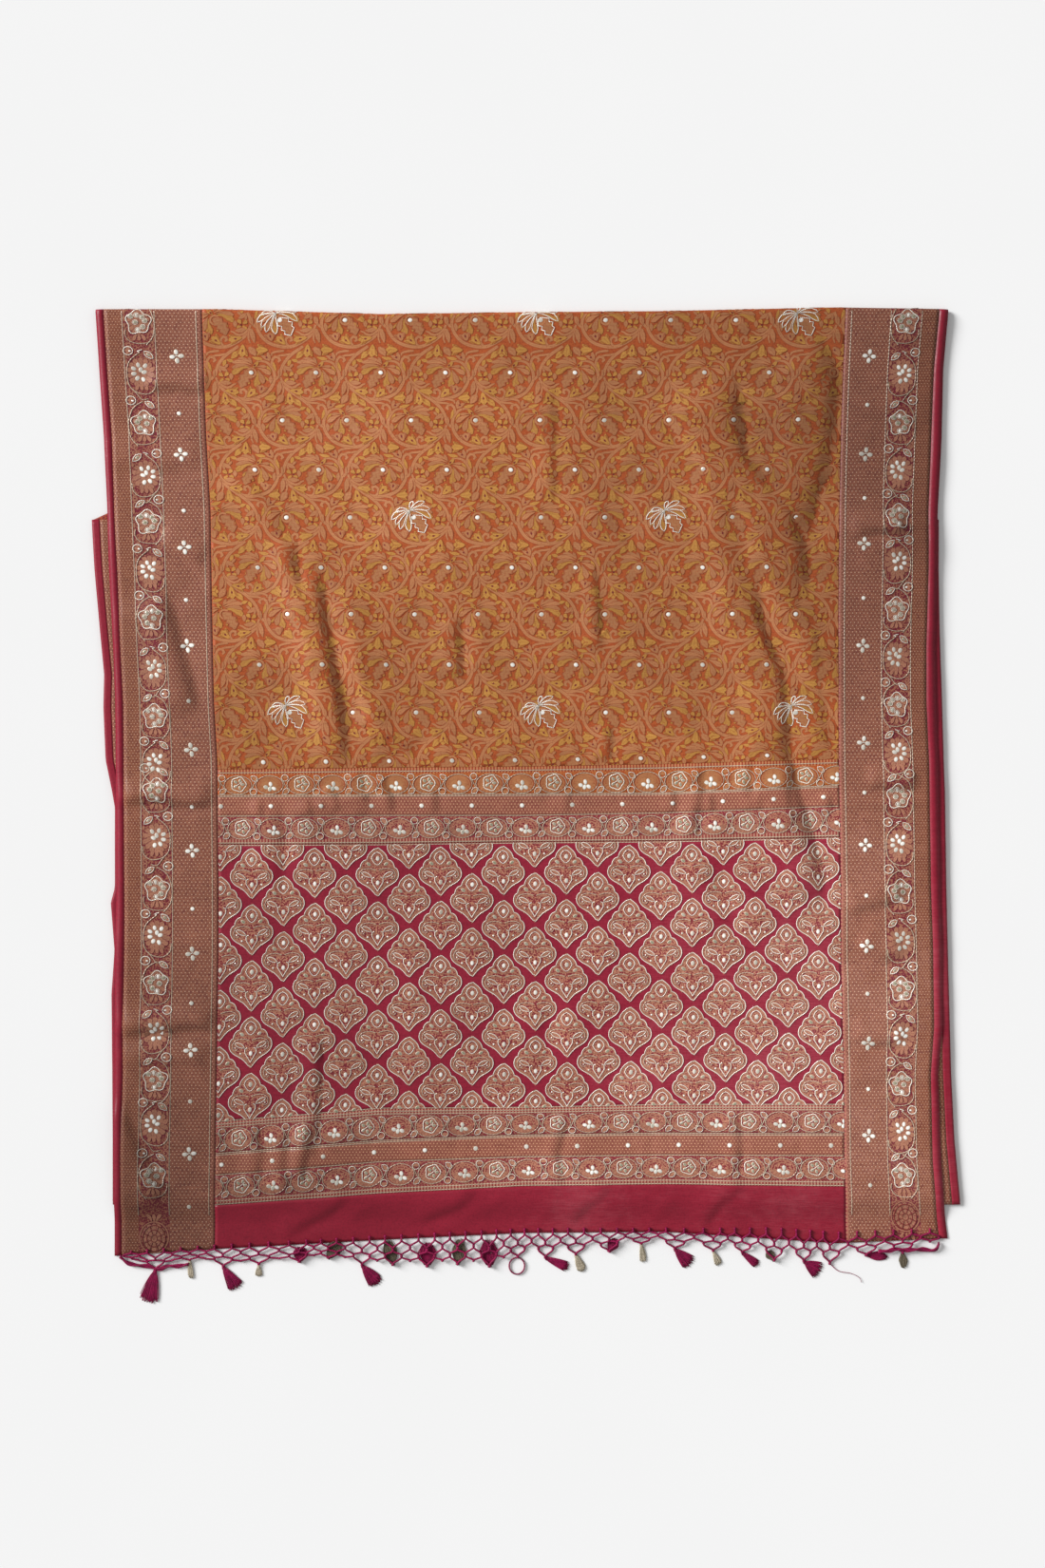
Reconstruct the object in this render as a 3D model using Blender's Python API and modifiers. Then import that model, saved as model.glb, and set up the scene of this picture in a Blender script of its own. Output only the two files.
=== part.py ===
"""A silk saree laid out flat, folded back under itself, with a netted and tasselled end.

The visible length is laid from the fold at +Y down to the fringed hem at -Y, and the
rest of the cloth lies folded beneath it. Plan tables are in millimetres, with the
origin under the middle of the laid cloth, +X to the right border and +Z up. Each cloth
piece is a wall that follows one height function, so neighbours meet at their seams.
"""

import math
from collections import namedtuple

import bmesh
import bpy
from mathutils import Vector

MM = 0.001

# Driving dimensions, in millimetres
WALL = 1.2
SEAM_GAP = 0.3
LAYER_GAP = 0.55
STRIP_LAP = 16.0
SATIN_WIDTH = 11.0
NOSE_HEIGHT = 7.6
NOSE_STEPS = 4
LOFT_BEHIND_NOSE = 110.0
TWO_LAYERS = 5.0
ALL_LAYERS = 8.4
LAYERS_START = (425.0, 335.0)
LAYERS_END = (-526.0, -564.0)
INNER_FOLD = 384.5
BOTTOM_FOLD = -537.0
EDGE_DROP = 1.0
EDGE_ROUND = 9.0
OUTER_SLOPE = 0.03
LEAST_STACK = 1.4
STEP_RUN = 5.0
SHOULDER = 3.0
SHOULDER_DROP = 0.5
END_DROP = 1.0
HIDDEN_GAP = 0.9
LEVELS = ((0.72, 0.6), (0.52, -0.6), (0.3, 0.4), (0.0, -0.2))
FIELD_COLUMNS = 22
BORDER_COLUMNS = 2
HIDDEN_COLUMNS = 10
SEEK_STEPS = 3

# The laid outline and the four lengthways seams, one row for each station along the cloth
EDGE_COLUMNS = ("y", "left_edge", "left_satin", "left_seam", "right_seam", "right_satin", "right_edge")
EDGE_ROWS = (
    (667.5, -579, -568, -435.5, 430, 556, 568),
    (585.5, -574, -563, -433, 426.5, 548.5, 561),
    (496, -568, -557, -430, 423.5, 545, 559),
    (393.5, -563, -553.5, -424, 421, 541, 553.5),
    (317, -560.5, -549, -422.5, 420, 541, 552),
    (214.5, -555, -545, -420.5, 419.5, 538, 550),
    (137.5, -552, -541, -419, 419.5, 538, 551),
    (61, -551.5, -540.5, -414.5, 420, 541.5, 553.5),
    (-105.5, -550, -539.5, -413, 423, 544, 556.5),
    (-195, -552.5, -539.5, -413, 423, 547, 559),
    (-297.5, -553, -542, -414.5, 425.5, 548.5, 560),
    (-361.5, -553.5, -541.5, -415.5, 427, 544, 554),
    (-477, -554, -544.5, -417, 428, 546.5, 558),
    (-534.5, -554, -544.5, -418, 430, 551, 562),
    (-592, -554, -544.5, -419, 431.5, 557.5, 569),
)

# The folded stretch below shows past the laid one at both sides
UNDER_COLUMNS = ("y", "under_left", "under_right")
UNDER_ROWS = (
    (INNER_FOLD, -584.5, 555.5),
    (317, -580.5, 555),
    (233.5, -573, 556.5),
    (176, -567.5, 558.5),
    (131, -568.5, 560),
    (61, -565.5, 562),
    (20, -557, 563.5),
    (-3, -553, 564),
    (-110.5, -553, 565.5),
    (-131, -558.5, 566),
    (-195, -553.5, 567.5),
    (-253, -557.5, 569),
    (-361.5, -556.5, 572),
    (-451, -556, 576.5),
    (BOTTOM_FOLD, -556, 584.5),
)

# The crossways lines from the fold to the hem: y at each of the seven x stations
LINE_X = (-574.5, -414.5, -196.5, -4.5, 187.5, 417.5, 565)
LINES = {
    "fold": (667.5, 667.5, 661, 663.5, 665, 670, 667.5),
    "field_end": (48, 48, 50.5, 52, 55.5, 62, 62),
    "ochre_end": (12, 13, 13.5, 14.5, 16, 26, 26),
    "dots_end": (-16, -15.5, -14.5, -14.5, -11, -2, -2),
    "pallu_start": (-53, -53, -52, -49.5, -48, -43, -43),
    "pallu_end": (-425.5, -425.5, -407.5, -406.5, -402.5, -402.5, -402.5),
    "lower_floral_end": (-469, -468.5, -451, -443.5, -441, -442, -442),
    "lower_dots_end": (-497.5, -497.5, -479.5, -473, -470.5, -471.5, -471.5),
    "end_band_start": (-538, -537.5, -521.5, -511.5, -509, -512, -511.5),
    "hem": (-608, -597, -585, -575.5, -574, -589.5, -583),
}

# Each stretch between two crossways lines: name, first line, last line, rows of the wall
STRETCHES = (
    ("field", "fold", "field_end", 14),
    ("floral_band_ochre", "field_end", "ochre_end", 1),
    ("dotted_band_upper", "ochre_end", "dots_end", 1),
    ("floral_band_upper", "dots_end", "pallu_start", 1),
    ("pallu", "pallu_start", "pallu_end", 8),
    ("floral_band_lower", "pallu_end", "lower_floral_end", 1),
    ("dotted_band_lower", "lower_floral_end", "lower_dots_end", 1),
    ("floral_band_end", "lower_dots_end", "end_band_start", 2),
    ("end_band", "end_band_start", "hem", 6),
)

# Soft valleys left by the folding, each between two ridges
Fold = namedtuple("Fold", "points half_width ridge")
FOLDS = (
    Fold(((-273, 330), (-248, 163), (-210, 60)), 27, 3.4),
    Fold(((-92, 262), (-84, 168)), 24, 2.0),
    Fold(((85, 640), (21, 522)), 28, 2.4),
    Fold(((264, 509), (302, 291), (373, 163), (398, 70)), 30, 3.8),
    Fold(((120, 420), (150, 330)), 30, 1.8),
    Fold(((-330, 20), (-322, -110)), 28, 1.8),
    Fold(((255, -60), (280, -190)), 30, 1.8),
    Fold(((40, -250), (20, -370)), 30, 1.4),
)
FOLD_FADE = 0.25
FOLD_FREE_EDGE = 60.0

# The fringe, one row for each tassel or loose end: where its knot hangs on the net, where
# its tip lies, how wide it fans, its strands across and its layers of strands
Loose = namedtuple("Loose", "name knot tip fan across layers thread lies")
FRINGE = (
    Loose("tassel_01", (-499, -625), (-509, -670), 26, 5, 2, "silk", "free"),
    Loose("tassel_02", (-453, -612), (-451, -637), 7, 3, 1, "grey", "free"),
    Loose("tassel_03", (-408, -621), (-389, -650), 20, 5, 1, "silk", "free"),
    Loose("tassel_04", (-360, -618), (-360, -634), 9, 3, 1, "grey", "free"),
    Loose("tassel_05", (-305, -614), (-303, -596), 16, 4, 1, "silk", "under"),
    Loose("tassel_06", (-261, -612), (-252, -594.5), 15, 4, 1, "grey", "under"),
    Loose("tassel_07", (-221, -619), (-201, -643), 17, 5, 1, "silk", "free"),
    Loose("tassel_08", (-181, -618), (-186, -591), 13, 4, 1, "grey", "under"),
    Loose("tassel_09", (-133, -620), (-133, -588), 18, 5, 1, "silk", "under"),
    Loose("tassel_10", (-92, -618), (-88, -586), 13, 4, 1, "grey", "under"),
    Loose("tassel_11", (-49, -620), (-51, -585), 18, 5, 1, "silk", "under"),
    Loose("cord_ring", (-11, -608), (-13.5, -632), 24, 0, 0, "silk", "ring"),
    Loose("tassel_12", (26, -609), (57, -622), 14, 5, 1, "silk", "free"),
    Loose("tassel_13", (67, -605), (76, -627), 12, 4, 1, "grey", "free"),
    Loose("tassel_14", (112, -600), (123, -582), 15, 4, 1, "silk", "under"),
    Loose("tassel_15", (155, -590), (158, -615), 9, 4, 1, "grey", "free"),
    Loose("tassel_16", (200, -597), (222, -618), 19, 5, 1, "silk", "free"),
    Loose("tassel_17", (252, -600), (260, -619), 10, 3, 1, "grey", "free"),
    Loose("tassel_18", (291, -602), (312, -619), 12, 4, 1, "silk", "free"),
    Loose("tassel_19", (334, -612), (324, -598), 11, 4, 1, "grey", "under"),
    Loose("tassel_20", (374, -614), (396, -628), 20, 5, 1, "silk", "free"),
    Loose("loose_thread", (409, -617), (452, -642.5), 1, 0, 0, "silk", "thread"),
    Loose("tassel_21", (458, -605), (489, -608), 11, 4, 1, "silk", "under"),
    Loose("tassel_22", (507, -602), (509, -625), 10, 4, 1, "grey", "under"),
)
NET_ENDS = ((-542, -612), (556, -594))
NET_WALL = 1.6
NET_CORD = 2.0
NET_UPPER_KNOT = 0.42
NET_LOWER_KNOT = 0.7
NET_SPARE_KNOT_RISE = 6.0
NET_SPARSE_FROM = -20.0
NET_ON_HEM = 1.75
NET_LOWEST = 0.15
NET_STAYS_UP = 12.0
NET_COMES_DOWN = 22.0
NET_OVER_TASSEL = 3.0
NET_TASSEL_REACH = (34.0, 20.0)
ANCHOR_RISE = ((-560, 5.5), (200, 5.5), (330, 15.0), (560, 14.0))

HEAD_LENGTH = 4.6
HEAD_WIDTH = 5.2
HEAD_LAYER = 1.15
HEAD_START = {"free": 0.5, "under": -2.0}
HEAD_RINGS = ((0.45, 1.12), (0.75, 0.6), (1.0, 0.8))
SLIM_FAN = 10
SLIM_HEAD = 0.7
STRAND_GAP = 0.14
STRAND_WIDEST = 2.6
STRAND_SHARE = 0.6
STRAND_RAGGED = 0.04
FLOOR_GAP = 0.3
RING_CORD = 0.65
THREAD_CORD = 0.5
THREAD_ROUTE = (
    (409, -617.4), (410.5, -626), (413.5, -633.5), (418.5, -634.5), (422, -629), (426, -626),
    (434, -628), (443, -634), (452, -642.5),
)

COLOURS = {
    "satin": (0.254, 0.018, 0.040, 0.42, 0.0),
    "brocade": (0.270, 0.102, 0.065, 0.5, 0.15),
    "ochre": (0.462, 0.122, 0.026, 0.5, 0.1),
    "silk": (0.270, 0.012, 0.070, 0.6, 0.0),
    "grey": (0.144, 0.115, 0.091, 0.7, 0.0),
}


def column(rows, columns, name, y):
    """The table's value at y, straight between its rows and level past its ends."""
    index = columns.index(name)
    if y >= rows[0][0]:
        return rows[0][index]
    for above, below in zip(rows, rows[1:]):
        if y >= below[0]:
            share = (above[0] - y) / (above[0] - below[0])
            return above[index] + share * (below[index] - above[index])
    return rows[-1][index]


def edge(name, y):
    """The x of a lengthways edge or seam of the laid cloth."""
    return column(EDGE_ROWS, EDGE_COLUMNS, name, y)


def under(name, y):
    """The x of an outer edge of the folded stretch below."""
    return column(UNDER_ROWS, UNDER_COLUMNS, name, y)


def along(stations, x):
    """Reads (x, value) stations, straight between them and level past the ends."""
    if x <= stations[0][0]:
        return stations[0][1]
    for (x0, value0), (x1, value1) in zip(stations, stations[1:]):
        if x <= x1:
            return value0 + (value1 - value0) * (x - x0) / (x1 - x0)
    return stations[-1][1]


def line(name, x):
    """The y of a crossways line at x."""
    return along(tuple(zip(LINE_X, LINES[name])), x)


def smooth(start, end, value):
    """0 at start, 1 at end, with a soft rise between."""
    share = min(1.0, max(0.0, (value - start) / (end - start)))
    return share * share * (3.0 - 2.0 * share)


def mix(a, b, share):
    """The value that lies this share of the way from a to b."""
    return a + (b - a) * share


def nearest_on(points, x, y):
    """The distance to a line of points, and how far along it the nearest place is."""
    best = (1e9, 0.0)
    lengths = [math.dist(a, b) for a, b in zip(points, points[1:])]
    passed = 0.0
    for (ax, ay), (bx, by), length in zip(points, points[1:], lengths):
        share = ((x - ax) * (bx - ax) + (y - ay) * (by - ay)) / length ** 2
        share = min(1.0, max(0.0, share))
        away = math.dist((x, y), (mix(ax, bx, share), mix(ay, by, share)))
        if away < best[0]:
            best = (away, (passed + share * length) / sum(lengths))
        passed += length
    return best


def fold_ridges(x, y):
    """The height that the soft folds add: none in a valley, most at its two ridges."""
    height = 0.0
    for fold in FOLDS:
        away, share = nearest_on(fold.points, x, y)
        ratio = (away / fold.half_width) ** 2
        taper = smooth(0.0, FOLD_FADE, share) * smooth(1.0, 1.0 - FOLD_FADE, share)
        height += fold.ridge * taper * ratio * math.exp(1.0 - ratio)
    return height


def stack_height(x, y):
    """The cloth's height over the floor before its soft folds, out to the under layers' edges."""
    behind = line("fold", x) - y
    height = mix(TWO_LAYERS, ALL_LAYERS, smooth(*LAYERS_START, y))
    height += (NOSE_HEIGHT - TWO_LAYERS) * smooth(LOFT_BEHIND_NOSE, 0.0, behind)
    height = mix(height, WALL, smooth(*LAYERS_END, y))
    inside = min(x - edge("left_edge", y), edge("right_edge", y) - x)
    drop = EDGE_DROP * smooth(EDGE_ROUND, 0.0, inside) + OUTER_SLOPE * max(0.0, -inside)
    return height - drop * (height - WALL) / (ALL_LAYERS - WALL)


def cloth_height(x, y):
    """The outer face of the laid cloth."""
    near_edge = min(x - edge("left_edge", y), edge("right_edge", y) - x)
    return stack_height(x, y) + fold_ridges(x, y) * smooth(0.0, FOLD_FREE_EDGE, near_edge)


def under_height(x, y):
    """The outer face of the folded stretch below the laid cloth."""
    return stack_height(x, y) - WALL - LAYER_GAP


def material(kind):
    """The plain finish of one kind of cloth or thread."""
    found = bpy.data.materials.get(kind)
    if found:
        return found
    red, green, blue, roughness, metallic = COLOURS[kind]
    made = bpy.data.materials.new(kind)
    made.use_nodes = True
    shader = made.node_tree.nodes["Principled BSDF"]
    shader.inputs["Base Color"].default_value = (red, green, blue, 1.0)
    shader.inputs["Roughness"].default_value = roughness
    shader.inputs["Metallic"].default_value = metallic
    return made


def finish(name, bm, kind):
    """Puts a mesh worked out in millimetres into the saree's collection, in metres."""
    bmesh.ops.scale(bm, vec=(MM, MM, MM), verts=bm.verts)
    mesh = bpy.data.meshes.new(name)
    bm.to_mesh(mesh)
    bm.free()
    mesh.materials.append(material(kind))
    made = bpy.data.objects.new(name, mesh)
    bpy.data.collections["saree"].objects.link(made)
    return made


def thicken(made, wall):
    """Gives an open cloth surface its wall, on the side away from its face."""
    solid = made.modifiers.new("wall", "SOLIDIFY")
    solid.thickness = wall * MM
    solid.offset = -1.0
    solid.use_even_offset = True
    solid.use_rim = True
    return made


def grid_surface(name, columns, rows, place, kind):
    """A grid whose point (column, row) goes where place says, face up, with its wall."""
    bm = bmesh.new()
    bmesh.ops.create_grid(bm, x_segments=columns, y_segments=rows, size=0.5)
    for vert in bm.verts:
        across = round((vert.co.x + 0.5) * columns)
        down = round((0.5 - vert.co.y) * rows)
        vert.co = Vector(place(across, down))
    return thicken(finish(name, bm, kind), WALL)


def nose_turns():
    """The turn of the cloth at the fold, from the floor round to just before its top."""
    return [math.pi * (NOSE_STEPS - step) / NOSE_STEPS for step in range(NOSE_STEPS)]


def laid_rows(stretches):
    """Every row of the wall through these stretches: (first line, last line, share, turn)."""
    rows = []
    for name, first, last, count in stretches:
        if first == "fold":
            rows += [(first, last, 0.0, turn) for turn in nose_turns()]
        start = 0 if not rows or first == "fold" else 1
        rows += [(first, last, step / count, None) for step in range(start, count + 1)]
    return rows


def laid_point(left, right, share, row, trims):
    """The place of a point of the laid cloth.

    left and right name the lengthways edges that the piece lies between, share is how far
    across it the point is, row comes from laid_rows, and trims are the widths kept back
    at the left, right, first and last edges, for the seams.
    """
    first, last, down, turn = row
    back = NOSE_HEIGHT / 2 if first == "fold" else trims[2]
    y = mix(line(first, 0.0), line(last, 0.0), down)
    for _ in range(SEEK_STEPS):
        x = mix(edge(left, y) + trims[0], edge(right, y) - trims[1], share)
        y = mix(line(first, x) - back, line(last, x) + trims[3], down)
    if turn is None:
        return (x, y, cloth_height(x, y))
    radius = cloth_height(x, y) / 2
    return (x, y + radius * math.sin(turn), radius + radius * math.cos(turn))


def laid_piece(name, left, right, columns, stretches, kind, trims):
    """One piece of the laid cloth, between two lengthways edges, over some stretches."""
    rows = laid_rows(stretches)

    def place(across, down):
        return laid_point(left, right, across / columns, rows[down], trims)

    return grid_surface(name, columns, len(rows) - 1, place, kind)


def make_laid_cloth():
    """The field, the bands, the pallu and the borders with their satin edges."""
    half = SEAM_GAP / 2
    kinds = {"field": "ochre", "floral_band_ochre": "ochre", "end_band": "satin", "pallu": "satin"}
    for stretch in STRETCHES:
        name = stretch[0]
        last_trim = 0.0 if stretch[2] == "hem" else half
        trims = (half, half, half, last_trim)
        kind = kinds.get(name, "brocade")
        laid_piece(name, "left_seam", "right_seam", FIELD_COLUMNS, (stretch,), kind, trims)
    borders = (("left_border", "left_satin", "left_seam"), ("right_border", "right_seam", "right_satin"))
    for name, left, right in borders:
        laid_piece(name, left, right, BORDER_COLUMNS, STRETCHES, "brocade", (half, half, 0, 0))
    trims = (0, half, 0, 0)
    laid_piece("left_satin_edge", "left_edge", "left_satin", 1, STRETCHES, "satin", trims)
    trims = (half, 0, 0, 0)
    laid_piece("right_satin_edge", "right_satin", "right_edge", 1, STRETCHES, "satin", trims)


def under_rows():
    """The y stations of the folded stretch below, from its inner fold to its bottom fold."""
    stations = [row[0] for row in UNDER_ROWS]
    rise = [INNER_FOLD - step for step in (12.0, 34.0)]
    fall = [BOTTOM_FOLD + step for step in (47.0, 22.0)]
    return stations[:1] + rise + stations[1:-1] + fall + stations[-1:]


def make_under_strips():
    """The edges of the folded stretch that show past the laid cloth, satin and border."""
    rows = under_rows()
    half = SEAM_GAP / 2
    for side, sign in (("left", 1), ("right", -1)):
        def outer(y, side=side):
            return under("under_" + side, y)

        def satin(y, outer=outer, sign=sign):
            return outer(y) + sign * SATIN_WIDTH

        def inner(y, side=side, sign=sign):
            return edge(side + "_edge", y) + sign * STRIP_LAP

        pieces = (
            ("under_" + side + "_satin", outer, satin, 0.0, -half, "satin"),
            ("under_" + side + "_border", satin, inner, half, 0.0, "brocade"),
        )
        for name, start, end, start_trim, end_trim, kind in pieces:
            def place(across, down, start=start, end=end, trims=(start_trim, end_trim), sign=sign):
                y = rows[down]
                share = across / BORDER_COLUMNS
                if sign < 0:
                    share = 1.0 - share
                x = mix(start(y) + sign * trims[0], end(y) + sign * trims[1], share)
                return (x, y, under_height(x, y))

            grid_surface(name, BORDER_COLUMNS, len(rows) - 1, place, kind)


def hidden_columns(y, wide):
    """The x stations across the hidden layers at y, from their left side to their right."""
    left = under("under_left", y) + 1.0 if wide else edge("left_edge", y) + 2.0
    right = under("under_right", y) - 1.0 if wide else edge("right_edge", y) - 2.0
    left_step = edge("left_edge", y) + STRIP_LAP + 1.0
    right_step = edge("right_edge", y) - STRIP_LAP - 1.0
    low, high = left_step + STEP_RUN, right_step - STEP_RUN
    inner = [mix(low, high, step / HIDDEN_COLUMNS) for step in range(HIDDEN_COLUMNS + 1)]
    return [left, left + SHOULDER, left_step] + inner + [right_step, right - SHOULDER, right]


def make_hidden_layers():
    """The layers that lie hidden, as one solid with a flat underside and layered sides."""
    fold_rows = [line("fold", 0.0) - step for step in (13.0, 40.0, 90.0, 160.0, 240.0)]
    rows = [(y, False) for y in fold_rows + [INNER_FOLD + 3.0]]
    rows += [(y, True) for y in under_rows()]
    columns = len(hidden_columns(0.0, True)) - 1
    skew = [line("fold", x) - line("fold", 0.0) for x in hidden_columns(fold_rows[0], False)]
    bm = bmesh.new()
    bmesh.ops.create_grid(bm, x_segments=columns, y_segments=len(rows) - 1, size=0.5)
    clear = WALL + HIDDEN_GAP
    for vert in bm.verts:
        across = round((vert.co.x + 0.5) * columns)
        down = round((0.5 - vert.co.y) * (len(rows) - 1))
        y, wide = rows[down]
        x = hidden_columns(y, wide)[across]
        if down < 2:
            y += skew[across]
        z = stack_height(x, y) - clear
        if wide and not 3 <= across <= columns - 3:
            z -= WALL + LAYER_GAP
        if across in (0, columns):
            z -= SHOULDER_DROP
        if down in (0, len(rows) - 1):
            z -= END_DROP
        vert.co = (x, y, max(z, LEAST_STACK))
    bmesh.ops.recalc_face_normals(bm, faces=bm.faces)
    if bm.faces[0].normal.z < 0:
        bmesh.ops.reverse_faces(bm, faces=bm.faces)
    layered_sides(bm)
    finish("hidden_layers", bm, "brocade")


def layered_sides(bm):
    """Carries the rim of a laid sheet down to the floor, in and out as stacked layers.

    Each level is a share of the rim's own height, and how far out of the rim it lies.
    """
    ring = [e for e in bm.edges if e.is_boundary]
    start = {v: v.co.copy() for e in ring for v in e.verts}
    outward = {}
    for vert in start:
        normals = []
        for e in vert.link_edges:
            if e.is_boundary:
                side = e.link_loops[0]
                direction = (side.link_loop_next.vert.co - side.vert.co)
                normals.append(Vector((direction.y, -direction.x, 0.0)).normalized())
        outward[vert] = sum(normals, Vector()).normalized()
    source = {v: v for v in start}
    for share, out in LEVELS:
        made = bmesh.ops.extrude_edge_only(bm, edges=ring)["geom"]
        ring = [g for g in made if isinstance(g, bmesh.types.BMEdge) and g.is_boundary]
        fresh = [g for g in made if isinstance(g, bmesh.types.BMVert)]
        carried = {}
        for vert in fresh:
            below = [e.other_vert(vert) for e in vert.link_edges]
            parent = next(v for v in below if v in source and v not in fresh)
            origin = source[parent]
            carried[vert] = origin
            place = start[origin] + outward[origin] * out
            vert.co = (place.x, place.y, start[origin].z * share)
        source = carried
    bmesh.ops.holes_fill(bm, edges=ring, sides=0)
    bmesh.ops.recalc_face_normals(bm, faces=bm.faces)


def net_knots():
    """The lowest row of knots along the net: one for each tassel and one between each two."""
    hung = [NET_ENDS[0]] + [row.knot for row in FRINGE] + [NET_ENDS[1]]
    knots = []
    for (x0, y0), (x1, y1) in zip(hung, hung[1:]):
        knots.append((x0, y0))
        knots.append(((x0 + x1) / 2, (y0 + y1) / 2 + NET_SPARE_KNOT_RISE))
    knots.append(hung[-1])
    return knots


def net_lift(x, y):
    """How high the net's underside lies: over the hem's edge and over what is folded under it."""
    beyond = line("hem", x) - y
    lift = max(NET_LOWEST, NET_ON_HEM * smooth(NET_COMES_DOWN, NET_STAYS_UP, beyond))
    for row in FRINGE:
        if row.lies == "under":
            away = nearest_on((row.knot, row.tip), x, y)[0]
            lift = max(lift, NET_OVER_TASSEL * smooth(*NET_TASSEL_REACH, away))
    return lift


def make_fringe_net():
    """The knotted net along the hem: three staggered rows of meshes, each one cut through."""
    knots = net_knots()
    anchors = [(a[0] + b[0]) / 2 for a, b in zip(knots, knots[1:])]
    bm = bmesh.new()
    made = {}

    def point(x, share):
        if (x, share) not in made:
            y = mix(line("hem", x) + along(ANCHOR_RISE, x), along(tuple(knots), x), share)
            made[x, share] = bm.verts.new((x, y, 0.0))
        return made[x, share]

    for index, x in enumerate(anchors):
        sides = [point(knots[side][0], NET_UPPER_KNOT) for side in (index, index + 1)]
        bm.faces.new((point(x, 0.0), sides[0], point(x, NET_LOWER_KNOT), sides[1]))
    for index in range(1, len(anchors)):
        pair = anchors[index - 1:index + 1]
        x = knots[index][0]
        tops = [point(place, 0.0) for place in pair]
        bm.faces.new((tops[0], point(x, NET_UPPER_KNOT), tops[1]))
        hangs = index % 2 == 0
        if hangs or x < NET_SPARSE_FROM:
            lower = [point(place, NET_LOWER_KNOT) for place in pair]
            bm.faces.new((point(x, NET_UPPER_KNOT), lower[0], point(x, 1.0), lower[1]))
    cells = list(bm.faces)
    bm.normal_update()
    for face in cells:
        if face.normal.z < 0:
            face.normal_flip()
    bmesh.ops.inset_individual(bm, faces=cells, thickness=NET_CORD / 2, use_even_offset=True)
    bmesh.ops.delete(bm, geom=cells, context="FACES")
    for vert in bm.verts:
        vert.co.z = net_lift(vert.co.x, vert.co.y) + NET_WALL
    thicken(finish("fringe_net", bm, "silk"), NET_WALL)


def make_tassel(name, knot, tip, fan, across, layers, thread, lies):
    """A tassel lying on the floor: a tied head, and strands that fan out from it."""
    length = math.dist(knot, tip)
    forward = Vector((tip[0] - knot[0], tip[1] - knot[1], 0.0)).normalized()
    side = Vector((forward.y, -forward.x, 0.0))
    height = HEAD_LAYER * 2
    width = HEAD_WIDTH if fan > SLIM_FAN else HEAD_WIDTH * SLIM_HEAD
    start = Vector((knot[0], knot[1], FLOOR_GAP)) + forward * HEAD_START[lies]
    bm = bmesh.new()
    bmesh.ops.create_grid(bm, x_segments=across, y_segments=layers, size=0.5)
    front = list(bm.faces)
    ring = [e for e in bm.edges if e.is_boundary]
    # The head in its own terms: x across, y up, z back towards the knot
    for vert in bm.verts:
        vert.co = (vert.co.x * width, (vert.co.y + 0.5) * height, 0.0)
    for back, share in HEAD_RINGS:
        made = bmesh.ops.extrude_edge_only(bm, edges=ring)["geom"]
        ring = [g for g in made if isinstance(g, bmesh.types.BMEdge) and g.is_boundary]
        for vert in {v for e in ring for v in e.verts}:
            vert.co.x *= share
            vert.co.y = height / 2 + (vert.co.y - height / 2) * min(1.0, share)
            vert.co.z = back * HEAD_LENGTH
    bmesh.ops.holes_fill(bm, edges=ring, sides=0)
    bmesh.ops.recalc_face_normals(bm, faces=bm.faces)
    bmesh.ops.inset_individual(bm, faces=front, thickness=STRAND_GAP, use_even_offset=True)
    strand_length = length - HEAD_LENGTH
    front = bmesh.ops.extrude_discrete_faces(bm, faces=front)["faces"]
    for index, face in enumerate(front):
        middle = face.calc_center_median()
        layer = index // across
        spot = (index % across + 0.5) / across - 0.5
        reach = 1.0 - STRAND_RAGGED * (index * 7 % 5) - spot * spot / 2
        wide = min(STRAND_SHARE * fan / across, STRAND_WIDEST)
        for vert in face.verts:
            away = vert.co - middle
            vert.co.x = spot * fan + math.copysign(wide / 2, away.x)
            vert.co.y = (layer + 0.5) * HEAD_LAYER + math.copysign(HEAD_LAYER / 3, away.y)
            vert.co.z = -strand_length * reach
    for vert in bm.verts:
        local = vert.co.copy()
        vert.co = start + side * local.x + forward * (HEAD_LENGTH - local.z)
        vert.co.z = FLOOR_GAP + local.y
    bmesh.ops.recalc_face_normals(bm, faces=bm.faces)
    finish(name, bm, thread)


def make_cord_ring(knot, tip):
    """A loop of net cord that lies open below the net."""
    radius = math.dist(knot, tip) / 2 - RING_CORD
    middle = ((knot[0] + tip[0]) / 2, (knot[1] + tip[1]) / 2 - 0.5, FLOOR_GAP + RING_CORD)
    bpy.ops.mesh.primitive_torus_add(
        major_segments=22,
        minor_segments=6,
        major_radius=radius * MM,
        minor_radius=RING_CORD * MM,
        location=[value * MM for value in middle],
    )
    made = bpy.context.object
    made.name = "cord_ring"
    made.data.materials.append(material("silk"))
    for holder in list(made.users_collection):
        holder.objects.unlink(made)
    bpy.data.collections["saree"].objects.link(made)


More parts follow.
